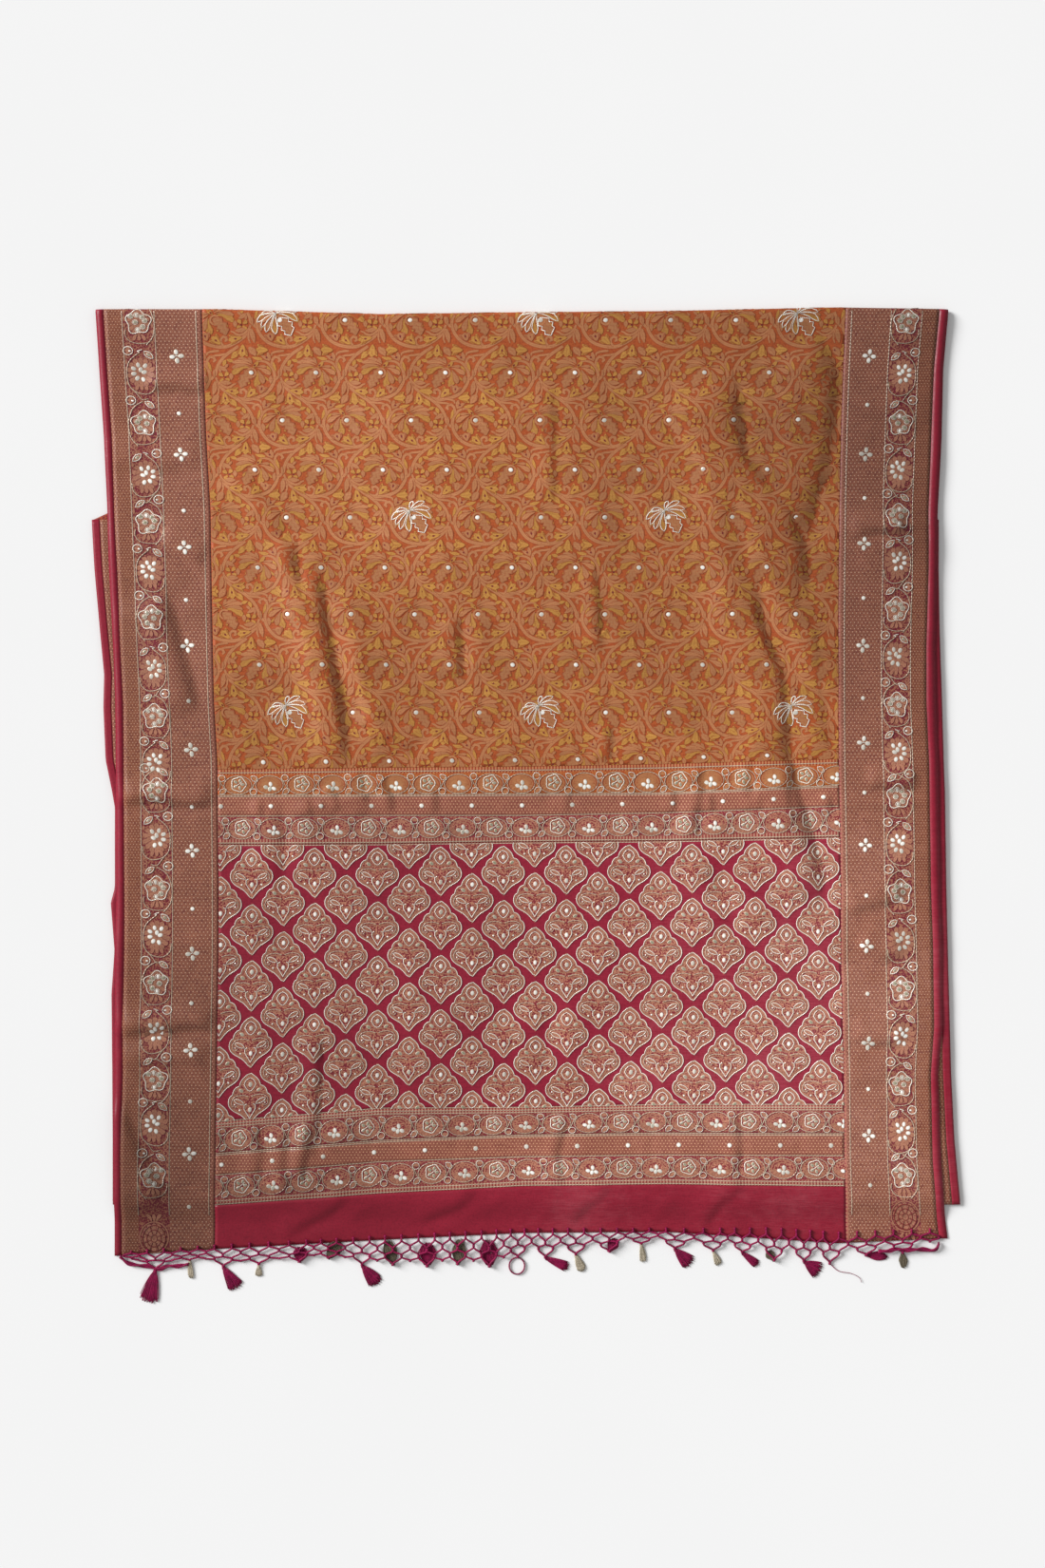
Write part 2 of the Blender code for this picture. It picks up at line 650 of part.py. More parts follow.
def make_loose_thread():
    """An untied end of net cord, along its own wandering route."""
    curve = bpy.data.curves.new("loose_thread", "CURVE")
    curve.dimensions = "3D"
    curve.bevel_depth = THREAD_CORD * MM
    curve.bevel_resolution = 1
    curve.use_fill_caps = True
    spline = curve.splines.new("POLY")
    spline.points.add(len(THREAD_ROUTE) - 1)
    for point, (x, y) in zip(spline.points, THREAD_ROUTE):
        point.co = (x * MM, y * MM, (FLOOR_GAP + THREAD_CORD) * MM, 1.0)
    drawn = bpy.data.objects.new("thread_route", curve)
    bpy.data.collections["saree"].objects.link(drawn)
    bpy.context.view_layer.update()
    evaluated = drawn.evaluated_get(bpy.context.evaluated_depsgraph_get())
    mesh = bpy.data.meshes.new_from_object(evaluated)
    bpy.data.objects.remove(drawn)
    bm = bmesh.new()
    bm.from_mesh(mesh)
    bmesh.ops.remove_doubles(bm, verts=bm.verts, dist=1e-6)
    bmesh.ops.recalc_face_normals(bm, faces=bm.faces)
    bmesh.ops.scale(bm, vec=(1 / MM, 1 / MM, 1 / MM), verts=bm.verts)
    finish("loose_thread", bm, "silk")


def make_fringe():
    """The net, its tassels and its loose ends."""
    make_fringe_net()
    for row in FRINGE:
        if row.lies == "ring":
            make_cord_ring(row.knot, row.tip)
        elif row.lies == "thread":
            make_loose_thread()
        else:
            make_tassel(*row)


def main():
    """Clears the scene and builds the saree."""
    for existing in list(bpy.data.objects):
        bpy.data.objects.remove(existing)
    collection = bpy.data.collections.new("saree")
    bpy.context.scene.collection.children.link(collection)
    make_laid_cloth()
    make_under_strips()
    make_hidden_layers()
    make_fringe()


main()
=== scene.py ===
"""The looks of a silk saree laid flat, with brocade borders, mirror work and a tasselled net.

Everything is laid on one map of the cloth. A motif is drawn flat, in millimetres across and
along its own stretch, cut off at the stretch's edges, and then laid on the folded surface.
"""

import logging
import math
from contextlib import contextmanager
from dataclasses import dataclass, field
from enum import Enum, IntEnum
from typing import Callable, Iterator

import bpy
import numpy as np
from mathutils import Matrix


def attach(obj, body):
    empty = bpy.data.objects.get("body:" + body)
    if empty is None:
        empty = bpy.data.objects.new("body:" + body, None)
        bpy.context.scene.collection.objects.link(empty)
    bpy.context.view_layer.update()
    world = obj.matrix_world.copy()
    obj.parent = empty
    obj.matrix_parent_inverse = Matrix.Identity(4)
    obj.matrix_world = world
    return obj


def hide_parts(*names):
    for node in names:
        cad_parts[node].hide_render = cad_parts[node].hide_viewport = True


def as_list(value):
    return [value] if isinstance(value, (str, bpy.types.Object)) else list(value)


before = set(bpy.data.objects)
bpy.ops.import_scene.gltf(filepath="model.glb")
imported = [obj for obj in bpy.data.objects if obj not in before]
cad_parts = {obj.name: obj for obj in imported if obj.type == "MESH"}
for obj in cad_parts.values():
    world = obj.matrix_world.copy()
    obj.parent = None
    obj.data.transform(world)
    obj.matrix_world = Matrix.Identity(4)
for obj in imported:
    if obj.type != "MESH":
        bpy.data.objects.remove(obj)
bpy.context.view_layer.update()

Array = np.ndarray
Arrays = tuple[np.ndarray, ...]
Point = tuple[float, float]
Thing = bpy.types.Object
Finish = bpy.types.Material
Socket = bpy.types.NodeSocket

LOG = logging.getLogger("saree")
MM = 0.001
BODY = "root"

# The view: straight down, from where the whole cloth and its margins show
VIEW_CENTRE = (-0.0047, 0.0288)
VIEW_HEIGHT = 2.112
LENS = 50.0
SENSOR = 36.0

# The sizes of the laid cloth, in millimetres, as the solids have them
WALL = 1.2
SHELL = 0.7
LAYER_GAP = 0.55
STRIP_LAP = 16.0
SATIN_WIDTH = 11.0
NOSE_HEIGHT = 7.6
LOFT_BEHIND_NOSE = 110.0
TWO_LAYERS = 5.0
ALL_LAYERS = 8.4
LAYERS_START = (425.0, 335.0)
LAYERS_END = (-526.0, -564.0)
EDGE_DROP = 1.0
EDGE_ROUND = 9.0
OUTER_SLOPE = 0.03
FOLD_FADE = 0.25
FOLD_FREE_EDGE = 60.0
LOWEST = 0.02
CREASE_DEEPEST = -1.25
# Above this, folds and creases that add up are eased towards a highest rise
SOFT_FROM = 4.5
SOFT_SPAN = 4.2
LOWEST_TOP = 0.95
NOSE_ROUND = math.pi * NOSE_HEIGHT / 2

EDGE_COLUMNS = ("y", "left_edge", "left_satin", "left_seam", "right_seam", "right_satin", "right_edge")
EDGE_ROWS = np.array((
    (667.5, -579, -568, -435.5, 430, 556, 568),
    (585.5, -574, -563, -433, 426.5, 548.5, 561),
    (496, -568, -557, -430, 423.5, 545, 559),
    (393.5, -563, -553.5, -424, 421, 541, 553.5),
    (317, -560.5, -549, -422.5, 420, 541, 552),
    (214.5, -555, -545, -420.5, 419.5, 538, 550),
    (137.5, -552, -541, -419, 419.5, 538, 551),
    (61, -551.5, -540.5, -414.5, 420, 541.5, 553.5),
    (-105.5, -550, -539.5, -413, 423, 544, 556.5),
    (-195, -552.5, -539.5, -413, 423, 547, 559),
    (-297.5, -553, -542, -414.5, 425.5, 548.5, 560),
    (-361.5, -553.5, -541.5, -415.5, 427, 544, 554),
    (-477, -554, -544.5, -417, 428, 546.5, 558),
    (-534.5, -554, -544.5, -418, 430, 551, 562),
    (-592, -554, -544.5, -419, 431.5, 557.5, 569),
))
UNDER_ROWS = np.array((
    (384.5, -584.5, 555.5),
    (317, -580.5, 555),
    (233.5, -573, 556.5),
    (176, -567.5, 558.5),
    (131, -568.5, 560),
    (61, -565.5, 562),
    (20, -557, 563.5),
    (-3, -553, 564),
    (-110.5, -553, 565.5),
    (-131, -558.5, 566),
    (-195, -553.5, 567.5),
    (-253, -557.5, 569),
    (-361.5, -556.5, 572),
    (-451, -556, 576.5),
    (-537, -556, 584.5),
))
LINE_X = (-574.5, -414.5, -196.5, -4.5, 187.5, 417.5, 565)
LINES = {
    "fold": (667.5, 667.5, 661, 663.5, 665, 670, 667.5),
    "field_end": (48, 48, 50.5, 52, 55.5, 62, 62),
    "ochre_end": (12, 13, 13.5, 14.5, 16, 26, 26),
    "dots_end": (-16, -15.5, -14.5, -14.5, -11, -2, -2),
    "pallu_start": (-53, -53, -52, -49.5, -48, -43, -43),
    "pallu_end": (-425.5, -425.5, -407.5, -406.5, -402.5, -402.5, -402.5),
    "lower_floral_end": (-469, -468.5, -451, -443.5, -441, -442, -442),
    "lower_dots_end": (-497.5, -497.5, -479.5, -473, -470.5, -471.5, -471.5),
    "end_band_start": (-538, -537.5, -521.5, -511.5, -509, -512, -511.5),
    "hem": (-608, -597, -585, -575.5, -574, -589.5, -583),
}

# Lengthways lines of the cloth: its edges, its seams and the silver lines of the borders.
# Each row: name, the two table edges that it lies between, its share of the way across
STATIONS = (
    ("left_edge", "left_edge", "left_satin", 0.0),
    ("left_satin", "left_satin", "left_seam", 0.0),
    ("left_outer_line", "left_satin", "left_seam", 0.182),
    ("left_inner_line", "left_satin", "left_seam", 0.512),
    ("left_last_line", "left_satin", "left_seam", 0.934),
    ("left_seam", "left_seam", "right_seam", 0.0),
    ("right_seam", "right_seam", "right_satin", 0.0),
    ("right_last_line", "right_seam", "right_satin", 0.066),
    ("right_inner_line", "right_seam", "right_satin", 0.488),
    ("right_outer_line", "right_seam", "right_satin", 0.818),
    ("right_satin", "right_satin", "right_edge", 0.0),
    ("right_edge", "right_satin", "right_edge", 1.0),
)
CELLS_ACROSS = (2, 4, 8, 9, 2, 190, 2, 9, 8, 4, 2)

# Crossways lines: name, the two table lines that it lies between, its share of the way down
CROSSINGS = (
    ("fold", "fold", "field_end", 0.0),
    ("field_end", "field_end", "ochre_end", 0.0),
    ("ochre_stripes", "field_end", "ochre_end", 0.2),
    ("ochre_end", "ochre_end", "dots_end", 0.0),
    ("dots_end", "dots_end", "pallu_start", 0.0),
    ("upper_stripes", "dots_end", "pallu_start", 0.8),
    ("pallu_start", "pallu_start", "pallu_end", 0.0),
    ("pallu_end", "pallu_end", "lower_floral_end", 0.0),
    ("lower_stripes", "pallu_end", "lower_floral_end", 0.19),
    ("lower_floral_end", "lower_floral_end", "lower_dots_end", 0.0),
    ("lower_dots_end", "lower_dots_end", "end_band_start", 0.0),
    ("end_stripes", "lower_dots_end", "end_band_start", 0.81),
    ("end_band_start", "end_band_start", "hem", 0.0),
    ("hem", "end_band_start", "hem", 1.0),
)
CELLS_DOWN = (122, 2, 6, 6, 6, 2, 70, 2, 6, 6, 7, 2, 15)
NOSE_CELLS = 8


def lines_of(rows) -> list[tuple[list, float, float]]:
    """Lines from rows of a width, a height and then x and y in turn, as points, width and height."""
    return [(np.reshape(row[2:], (-1, 2)).tolist(), row[0], row[1]) for row in rows]


# The soft folds that the solids have: half the width and the height of the two ridges
FOLDS = lines_of((
    (27, 3.4, -273, 330, -248, 163, -210, 60), (24, 2.0, -92, 262, -84, 168), (28, 0.6, 85, 640, 21, 522),
    (30, 3.8, 264, 509, 302, 291, 373, 163, 398, 70), (30, 1.8, 120, 420, 150, 330), (28, 1.8, -330, 20, -322, -110),
    (30, 1.8, 255, -60, 280, -190), (30, 1.4, 40, -250, 20, -370),
))

# Finer creases: half the width and the height (a trough is below 0)
CREASES = lines_of((
    (12, 0.9, -266, 300, -250, 215, -238, 160), (10, 0.7, -232, 240, -222, 170, -204, 100, -196, 30),
    (8, -0.7, 402, 158, 412, 108, 416, 60), (11, 0.8, 330, 300, 338, 240, 352, 190),
    (12, 0.7, 170, 560, 186, 500, 190, 455), (14, 0.6, -380, 610, -350, 540, -345, 500),
    (13, 0.6, -150, 640, -175, 560), (8, -0.6, 250, 470, 262, 430), (15, 0.6, 20, 420, 10, 350, 18, 290),
    (13, 0.5, -30, 200, -40, 120), (12, 0.5, 120, 250, 128, 190), (13, 0.6, -360, 430, -372, 360),
    (12, 0.6, 205, 220, 216, 130, 212, 60), (7, -0.8, -226, 48, -222, 5, -212, -28),
    (6, -0.7, -262, 20, -255, -25, -240, -48), (7, 0.6, -190, 20, -184, -40), (5, -0.5, -120, 22, -112, -20),
    (6, -0.5, 30, 30, 26, -45), (6, -0.6, 118, 45, 126, -10, 122, -48), (7, -0.7, 232, 50, 240, 0, 232, -50),
    (6, -0.6, 300, 60, 306, 10), (7, -0.6, 360, 60, 354, 5, 362, -40), (7, -0.5, -368, 30, -372, -30),
    (9, -0.5, -331, 0, -322, -100, -330, -170), (9, -0.6, 258, -60, 276, -150, 281, -196),
    (15, 0.6, -160, -170, -150, -260), (16, 0.6, 90, -120, 110, -220), (15, 0.5, -250, -230, -270, -330),
    (15, 0.5, 330, -260, 346, -340), (9, -0.5, 38, -260, 22, -360), (6, -0.7, -358, -440, -366, -500),
    (5, -0.6, -322, -430, -330, -520), (6, -0.7, -290, -435, -300, -505), (6, -0.5, -205, -420, -212, -500),
    (6, -0.5, -90, -415, -98, -480), (6, -0.6, 55, -410, 44, -470, 52, -510), (6, -0.5, 172, -408, 168, -478),
    (6, -0.6, 282, -410, 290, -500), (6, -0.5, 372, -408, 366, -480), (7, 0.7, -395, -545, -330, -560, -250, -552),
    (8, 0.6, -300, -585, -240, -560, -200, -530), (9, 0.6, -170, -525, -150, -565),
    (8, 0.7, -120, -575, -60, -545, -20, -520), (9, 0.6, 10, -570, 40, -530), (9, 0.6, 90, -520, 130, -560),
    (8, 0.7, 160, -570, 200, -525), (9, 0.6, 250, -520, 290, -575), (9, 0.6, 330, -525, 350, -580),
    (4.5, 0.8, 420, 379, 480, 376, 556, 380), (5, -0.6, 422, 368, 490, 366, 556, 369),
    (4.5, 0.8, -552, 4, -480, 2, -416, 5), (5, -0.6, -552, -7, -480, -9, -416, -6), (4.5, 0.7, 424, 5, 490, 3, 552, 6),
    (5, -0.6, 424, -8, 490, -9, 552, -7), (13, -0.9, -560, 445, -500, 452, -436, 448),
    (12, -0.9, -552, -317, -480, -312, -418, -322), (10, 0.8, -552, -345, -490, -350, -420, -344),
    (10, -0.9, 430, -308, 500, -302, 556, -310), (8, 0.7, 428, -290, 500, -284, 552, -292),
    (9, -0.8, 430, -380, 500, -374, 552, -384), (9, 0.7, -556, -452, -480, -448, -420, -455),
    (8, -0.6, -552, -560, -480, -566, -424, -560), (9, -0.7, 434, -545, 500, -540, 560, -548),
    (14, -0.7, -553, 122, -490, 128, -420, 120), (16, 0.7, -560, 262, -500, 255, -424, 266),
    (15, -0.7, 424, 250, 490, 258, 552, 246), (15, 0.7, 426, 108, 490, 100, 552, 112),
    (16, 0.7, 428, 535, 500, 530, 556, 540), (15, 0.7, -566, 585, -500, 578, -434, 588),
    (14, -0.7, 426, -110, 490, -118, 556, -106), (15, 0.7, -548, -180, -480, -186, -416, -176),
))

# Sharp creases, down the valley: the width and height of the soft crest beside it;
# the crest lies to the left of a line that runs down the cloth
SHARP_CREASES = lines_of((
    (19, 7.0, -276, 336, -272, 289, -266, 250, -260, 220, -255, 188, -247, 156, -244, 116, -238, 75, -231, 40),
    (13, 4.2, -309, 366, -306, 326, -301, 290, -288, 266, -270, 252), (11, 3.6, -152, 62, -197, 86, -231, 120),
    (17, 2.2, -389, 470, -331, 394, -300, 285),
    (30, 8.2, 281, 606, 289, 560, 293, 515, 297, 470, 312, 446, 332, 420, 356, 392, 374, 357, 381, 322, 378, 262),
    (24, 5.0, 330, 345, 300, 385, 262, 420, 213, 482, 160, 548),
    (30, 7.0, 384, 656, 420, 585, 418, 520, 409, 465, 396, 420, 385, 375, 378, 335),
    (27, 8.6, 324, 352, 314, 300, 318, 250, 333, 209, 346, 180, 349, 147, 354, 110, 355, 68, 364, 30, 378, -16,
     399, -90, 399, -170),
    (17, 2.7, 390, 250, 398, 150, 410, 60), (12, 2.6, 40, 575, 41, 480, 41, 390),
    (10, 3.2, 95, 330, 101, 266, 104, 200), (10, 2.8, 117, 112, 116, 58),
    (12, 3.4, -271, -290, -276, -400, -284, -495), (12, 6.6, -414, -1, -450, -3, -491, 3, -552, 0),
    (13, 6.4, -414, -306, -450, -303, -500, -306, -552, -312), (12, 5.2, -425, 550, -470, 556, -514, 556),
    (15, 3.0, -438, 316, -470, 334, -502, 352), (22, 6.4, -484, 300, -464, 230, -434, 118),
    (16, 4.3, 515, -128, 470, -140, 430, -150), (16, 3.9, 515, -204, 480, -214, 436, -194),
    (18, 4.9, -544, -385, -522, -450, -492, -500, -470, -522), (10, 3.4, -88, 262, -86, 215, -82, 165),
    (9, 2.8, -222, 52, -216, 20, -206, -10), (8, 2.4, -190, 44, -183, 22, -172, -4),
    (8, 2.7, -262, 30, -252, 8, -247, -8), (10, 2.8, 236, 62, 240, 20, 230, -20, 234, -50),
    (10, 2.7, 365, 60, 352, 20, 362, -30), (9, 2.0, 305, 70, 300, 20, 308, -10),
    (14, 1.6, -330, 10, -324, -60, -330, -130), (10, 2.8, -360, -420, -352, -470, -362, -515),
    (9, 2.7, -316, -425, -322, -480, -318, -528), (10, 3.2, -286, -425, -292, -470, -300, -512),
    (10, 2.4, 60, -412, 46, -470, 54, -515), (10, 2.4, 286, -410, 292, -455, 286, -505),
    (12, 2.4, -230, -525, -262, -550, -330, -590), (12, 2.4, -60, -520, -92, -545, -150, -568),
    (12, 2.0, 120, -515, 84, -545, 60, -570), (12, 2.4, 300, -512, 262, -540, 240, -575),
    (12, 5.2, 512, 362, 470, 364, 436, 358), (12, 5.2, 530, 22, 490, 19, 452, 24),
    (12, 2.7, -418, -345, -490, -352, -552, -347), (13, 4.6, 515, -322, 470, -325, 432, -318),
    (16, 2.1, -424, 452, -500, 446, -560, 452), (9, 2.4, -354, 9, -352, -4, -354, -16),
    (9, 2.4, -288, 10, -285, -3, -287, -15), (8, 2.0, -270, 8, -267, -6), (9, 2.4, 201, 22, 203, 4, 200, -12),
    (10, 2.8, 250, 20, 254, 4, 252, -10), (9, 2.4, 316, 20, 318, 2, 314, -12), (9, 2.6, 411, 18, 412, 0, 408, -14),
    (9, 2.0, -120, 20, -117, 4, -119, -10), (9, 2.0, 60, 18, 62, 2, 59, -10),
))

FIELD_WIDE = 842.0
BORDER_WIDE = 126.0


def mix(a, b, share):
    """The value that lies this share of the way from a to b."""
    return a + (b - a) * share


def smooth(start: float, end: float, value):
    """0 at start, 1 at end, with a soft rise between."""
    share = np.clip((value - start) / (end - start), 0.0, 1.0)
    return share * share * (3.0 - 2.0 * share)


def edge(name: str, y) -> Array:
    """The x of a lengthways edge in the table at y."""
    return np.interp(y, EDGE_ROWS[::-1, 0], EDGE_ROWS[::-1, EDGE_COLUMNS.index(name)])


def under(side: str, y) -> Array:
    """The x of an outer edge of the folded stretch below at y."""
    return np.interp(y, UNDER_ROWS[::-1, 0], UNDER_ROWS[::-1, 1 if side == "left" else 2])


def line(name: str, x) -> Array:
    """The y of a crossways line in the table at x."""
    return np.interp(x, LINE_X, LINES[name])


def station(name: str, y) -> Array:
    """The x of any lengthways line of the cloth at y."""
    _, first, last, share = next(row for row in STATIONS if row[0] == name)
    return mix(edge(first, y), edge(last, y), share)


def crossing(name: str, x) -> Array:
    """The y of any crossways line of the cloth at x."""
    _, first, last, share = next(row for row in CROSSINGS if row[0] == name)
    start = line(first, x) - (NOSE_HEIGHT / 2 if first == "fold" else 0.0)
    return mix(start, line(last, x), share)


def nearest_on(points, x, y) -> Arrays:
    """How far places are from a line of points.

    Args:
        points: the corners of the line.
        x, y: the places, as arrays of one shape.

    Returns:
        The distance of each place, and its share of the way along the line.
    """
    lengths = [math.dist(a, b) for a, b in zip(points, points[1:])]
    best = np.full(np.shape(x), 1e9)
    share_at = np.zeros(np.shape(x))
    passed = 0.0
    for (ax, ay), (bx, by), length in zip(points, points[1:], lengths):
        share = np.clip(((x - ax) * (bx - ax) + (y - ay) * (by - ay)) / length ** 2, 0, 1)
        away = np.hypot(x - mix(ax, bx, share), y - mix(ay, by, share))
        nearer = away < best
        best = np.where(nearer, away, best)
        share_at = np.where(nearer, (passed + share * length) / sum(lengths), share_at)
        passed += length
    return best, share_at


def stack_height(x, y) -> Array:
    """The laid cloth's height over the floor before its folds."""
    behind = line("fold", x) - y
    height = mix(TWO_LAYERS, ALL_LAYERS, smooth(*LAYERS_START, y))
    height = height + (NOSE_HEIGHT - TWO_LAYERS) * smooth(LOFT_BEHIND_NOSE, 0.0, behind)
    height = mix(height, WALL, smooth(*LAYERS_END, y))
    inside = np.minimum(x - edge("left_edge", y), edge("right_edge", y) - x)
    drop = EDGE_DROP * smooth(EDGE_ROUND, 0.0, inside) + OUTER_SLOPE * np.maximum(0.0, -inside)
    return height - drop * (height - WALL) / (ALL_LAYERS - WALL)


def fold_height(x, y) -> Array:
    """What the soft folds add: nothing in a valley, most at its two ridges."""
    height = np.zeros(np.shape(x))
    for points, half_width, ridge in FOLDS:
        away, share = nearest_on(points, x, y)
        ratio = (away / half_width) ** 2
        taper = smooth(0.0, FOLD_FADE, share) * smooth(1.0, 1.0 - FOLD_FADE, share)
        height += ridge * taper * ratio * np.exp(1.0 - ratio)
    near_edge = np.minimum(x - edge("left_edge", y), edge("right_edge", y) - x)
    return height * smooth(0.0, FOLD_FREE_EDGE, near_edge)


def signed_from(points, x, y) -> Arrays:
    """How far places are from a line, below 0 to its right, and their share of the way."""
    away, share = nearest_on(points, x, y)
    best = np.full(np.shape(x), 1e9)
    sign = np.ones(np.shape(x))
    for (ax, ay), (bx, by) in zip(points, points[1:]):
        near = nearest_on(((ax, ay), (bx, by)), x, y)[0]
        left = (bx - ax) * (y - ay) - (by - ay) * (x - ax)
        sign = np.where(near < best, np.sign(left), sign)
        best = np.minimum(best, near)
    return away * -sign, share


def crease_height(x, y) -> Array:
    """What the finer creases and the slack of the silk add."""
    height = np.zeros(np.shape(x))
    for points, wide, rise in SHARP_CREASES:
        away, share = signed_from(points, x, y)
        taper = smooth(0.0, 0.2, share) * smooth(1.0, 0.8, share)
        crest, far = np.maximum(away, 0) / wide, np.maximum(-away, 0) / (1.8 * wide)
        body = np.where(crest < 1, 1 - (1 - crest) ** 2, np.exp(-(((crest - 1) / 1.5) ** 2)))
        height += rise * taper * (body + 0.3 * far * np.exp(1 - far) - 0.2 * np.exp(-crest - far))
    for points, half_width, rise in CREASES:
        away, share = nearest_on(points, x, y)
        taper = smooth(0.0, 0.18, share) * smooth(1.0, 0.82, share)
        height += rise * taper * np.exp(-((away / half_width) ** 2))
    slack = 0.22 * np.sin(x / 21.0 + 1.3 * np.sin(y / 47.0)) * np.sin(y / 33.0 + 0.7 * np.sin(x / 61.0))
    slack += 0.16 * np.sin(x / 9.5 + 2.1 * np.sin(y / 29.0)) * np.sin(y / 26.0 + x / 70.0)
    slack += 0.3 * np.sin(y / 17.0 + 2.0 * np.sin(x / 90.0)) * smooth(400.0, 450.0, np.abs(x))
    resting = smooth(0.0, 12.0, line("fold", x) - y) * smooth(-2.0, 16.0, y - line("hem", x))
    return np.maximum(height + slack, CREASE_DEEPEST) * resting


class ClothMap:
    """The laid cloth as one fine grid, and the way from a plan place to its surface."""

    def __init__(self) -> None:
        """Works out the grid's points and normals."""
        self.column_starts = np.concatenate(([0], np.cumsum(CELLS_ACROSS)))
        self.row_starts = NOSE_CELLS + np.concatenate(([0], np.cumsum(CELLS_DOWN)))
        columns, rows = self.column_starts[-1] + 1, self.row_starts[-1] + 1
        self.plan_x = np.zeros((rows, columns))
        self.plan_y = np.broadcast_to(np.linspace(660, -590, rows)[:, None], (rows, columns)).copy()
        for _ in range(4):
            self._settle()
        raised = fold_height(self.plan_x, self.plan_y) + crease_height(self.plan_x, self.plan_y)
        eased = SOFT_FROM + SOFT_SPAN * np.tanh((raised - SOFT_FROM) / SOFT_SPAN)
        raised = np.where(raised > SOFT_FROM, eased, raised)
        top = np.maximum(stack_height(self.plan_x, self.plan_y) + raised, LOWEST_TOP)
        turn = np.zeros(rows)
        turn[:NOSE_CELLS] = math.pi * (1 - np.arange(NOSE_CELLS) / NOSE_CELLS)
        nose = np.arange(rows)[:, None] < NOSE_CELLS
        round_y = self.plan_y + top / 2 * np.sin(turn)[:, None]
        round_z = top / 2 * (1 + np.cos(turn)[:, None])
        self.points = np.stack((self.plan_x, np.where(nose, round_y, self.plan_y), np.where(nose, round_z, top)),
                               axis=-1)
        normals = np.cross(np.gradient(self.points, axis=0), np.gradient(self.points, axis=1))
        normals /= np.linalg.norm(normals, axis=-1, keepdims=True)
        self.normals = normals * np.sign(normals[rows // 2, columns // 2, 2])

    def _settle(self) -> None:
        """One step of finding where the lengthways and crossways lines cross."""
        for span, (start, cells) in enumerate(zip(self.column_starts, CELLS_ACROSS)):
            part = slice(start, start + cells + 1)
            y = self.plan_y[:, part]
            first, last = (station(STATIONS[at][0], y) for at in (span, span + 1))
            self.plan_x[:, part] = mix(first, last, np.linspace(0, 1, cells + 1)[None, :])
        self.plan_y[:NOSE_CELLS] = crossing("fold", self.plan_x[:NOSE_CELLS])
        for span, (start, cells) in enumerate(zip(self.row_starts, CELLS_DOWN)):
            part = slice(start, start + cells + 1)
            x = self.plan_x[part]
            first, last = (crossing(CROSSINGS[at][0], x) for at in (span, span + 1))
            self.plan_y[part] = mix(first, last, np.linspace(0, 1, cells + 1)[:, None])

    @staticmethod
    def _between(value: Array, lines: Array, passed: Array, starts: Array, cells: tuple[int, ...]) -> Array:
        """Where values lie on the grid.

        Args:
            value: the x or y of each place.
            lines: the lines of the table there, in turn.
            passed: which of them each place is past.
            starts: the grid line at which each line of the table lies.
            cells: how many grid cells follow it.

        Returns:
            The grid line of each, with its fraction.
        """
        span = np.clip(passed.sum(axis=0) - 1, 0, len(cells) - 1)
        low, high = (np.take_along_axis(lines, span[None] + k, 0)[0] for k in (0, 1))
        return starts[span] + np.clip((value - low) / (high - low), 0.0, 1.0) * np.array(cells)[span]

    def column_of(self, x: Array, y: Array) -> Array:
        """The grid column of plan places, with its fraction."""
        lines = np.stack([station(row[0], y) for row in STATIONS])
        return self._between(x, lines, x[None] >= lines, self.column_starts, CELLS_ACROSS)

    def row_of(self, x: Array, y: Array) -> Array:
        """The grid row of plan places; past the fold's line, y is the way round the fold."""
        lines = np.stack([crossing(row[0], x) for row in CROSSINGS])
        row = self._between(y, lines, y[None] <= lines, self.row_starts, CELLS_DOWN)
        round_fold = (y - lines[0]) / NOSE_ROUND
        return np.where(y > lines[0], NOSE_CELLS * np.clip(1 - round_fold, 0, 1), row)

    def lay(self, x: Array, y: Array, lift: Array) -> Array:
        """Puts plan places on the cloth.

        Args:
            x, y: plan places in millimetres.
            lift: how far each is held off the cloth.

        Returns:
            Points in metres, one row each.
        """
        row, column = self.row_of(x, y), self.column_of(x, y)
        r0 = np.clip(row.astype(int), 0, self.points.shape[0] - 2)
        c0 = np.clip(column.astype(int), 0, self.points.shape[1] - 2)
        fr, fc = (row - r0)[:, None], (column - c0)[:, None]

        def at(grid: Array) -> Array:
            """What the grid holds at each place."""
            upper = mix(grid[r0, c0], grid[r0, c0 + 1], fc)
            return mix(upper, mix(grid[r0 + 1, c0], grid[r0 + 1, c0 + 1], fc), fr)

        return (at(self.points) + at(self.normals) * lift[:, None]) * MM


class Way(Enum):
    """The outline that a petal or leaf has."""

    LEAF = ((0, 0.15, 0.4, 0.65, 0.85, 1), (0, 0.6, 1, 0.85, 0.45, 0))
    PETAL = ((0, 0.25, 0.5, 0.72, 0.9, 1), (0.12, 0.4, 0.8, 1, 0.62, 0))
    LOBED = ((0, 0.14, 0.28, 0.4, 0.52, 0.66, 0.78, 0.9, 1), (0.2, 0.6, 0.95, 0.6, 1, 0.62, 0.85, 0.4, 0))
    DROP = ((0, 0.3, 0.6, 0.85, 1), (0, 0.6, 1, 0.8, 0.2))
    BELL = ((0, 0.18, 0.42, 0.62, 0.74, 0.82, 1), (0.1, 0.46, 0.66, 0.8, 1, 0.52, 0))


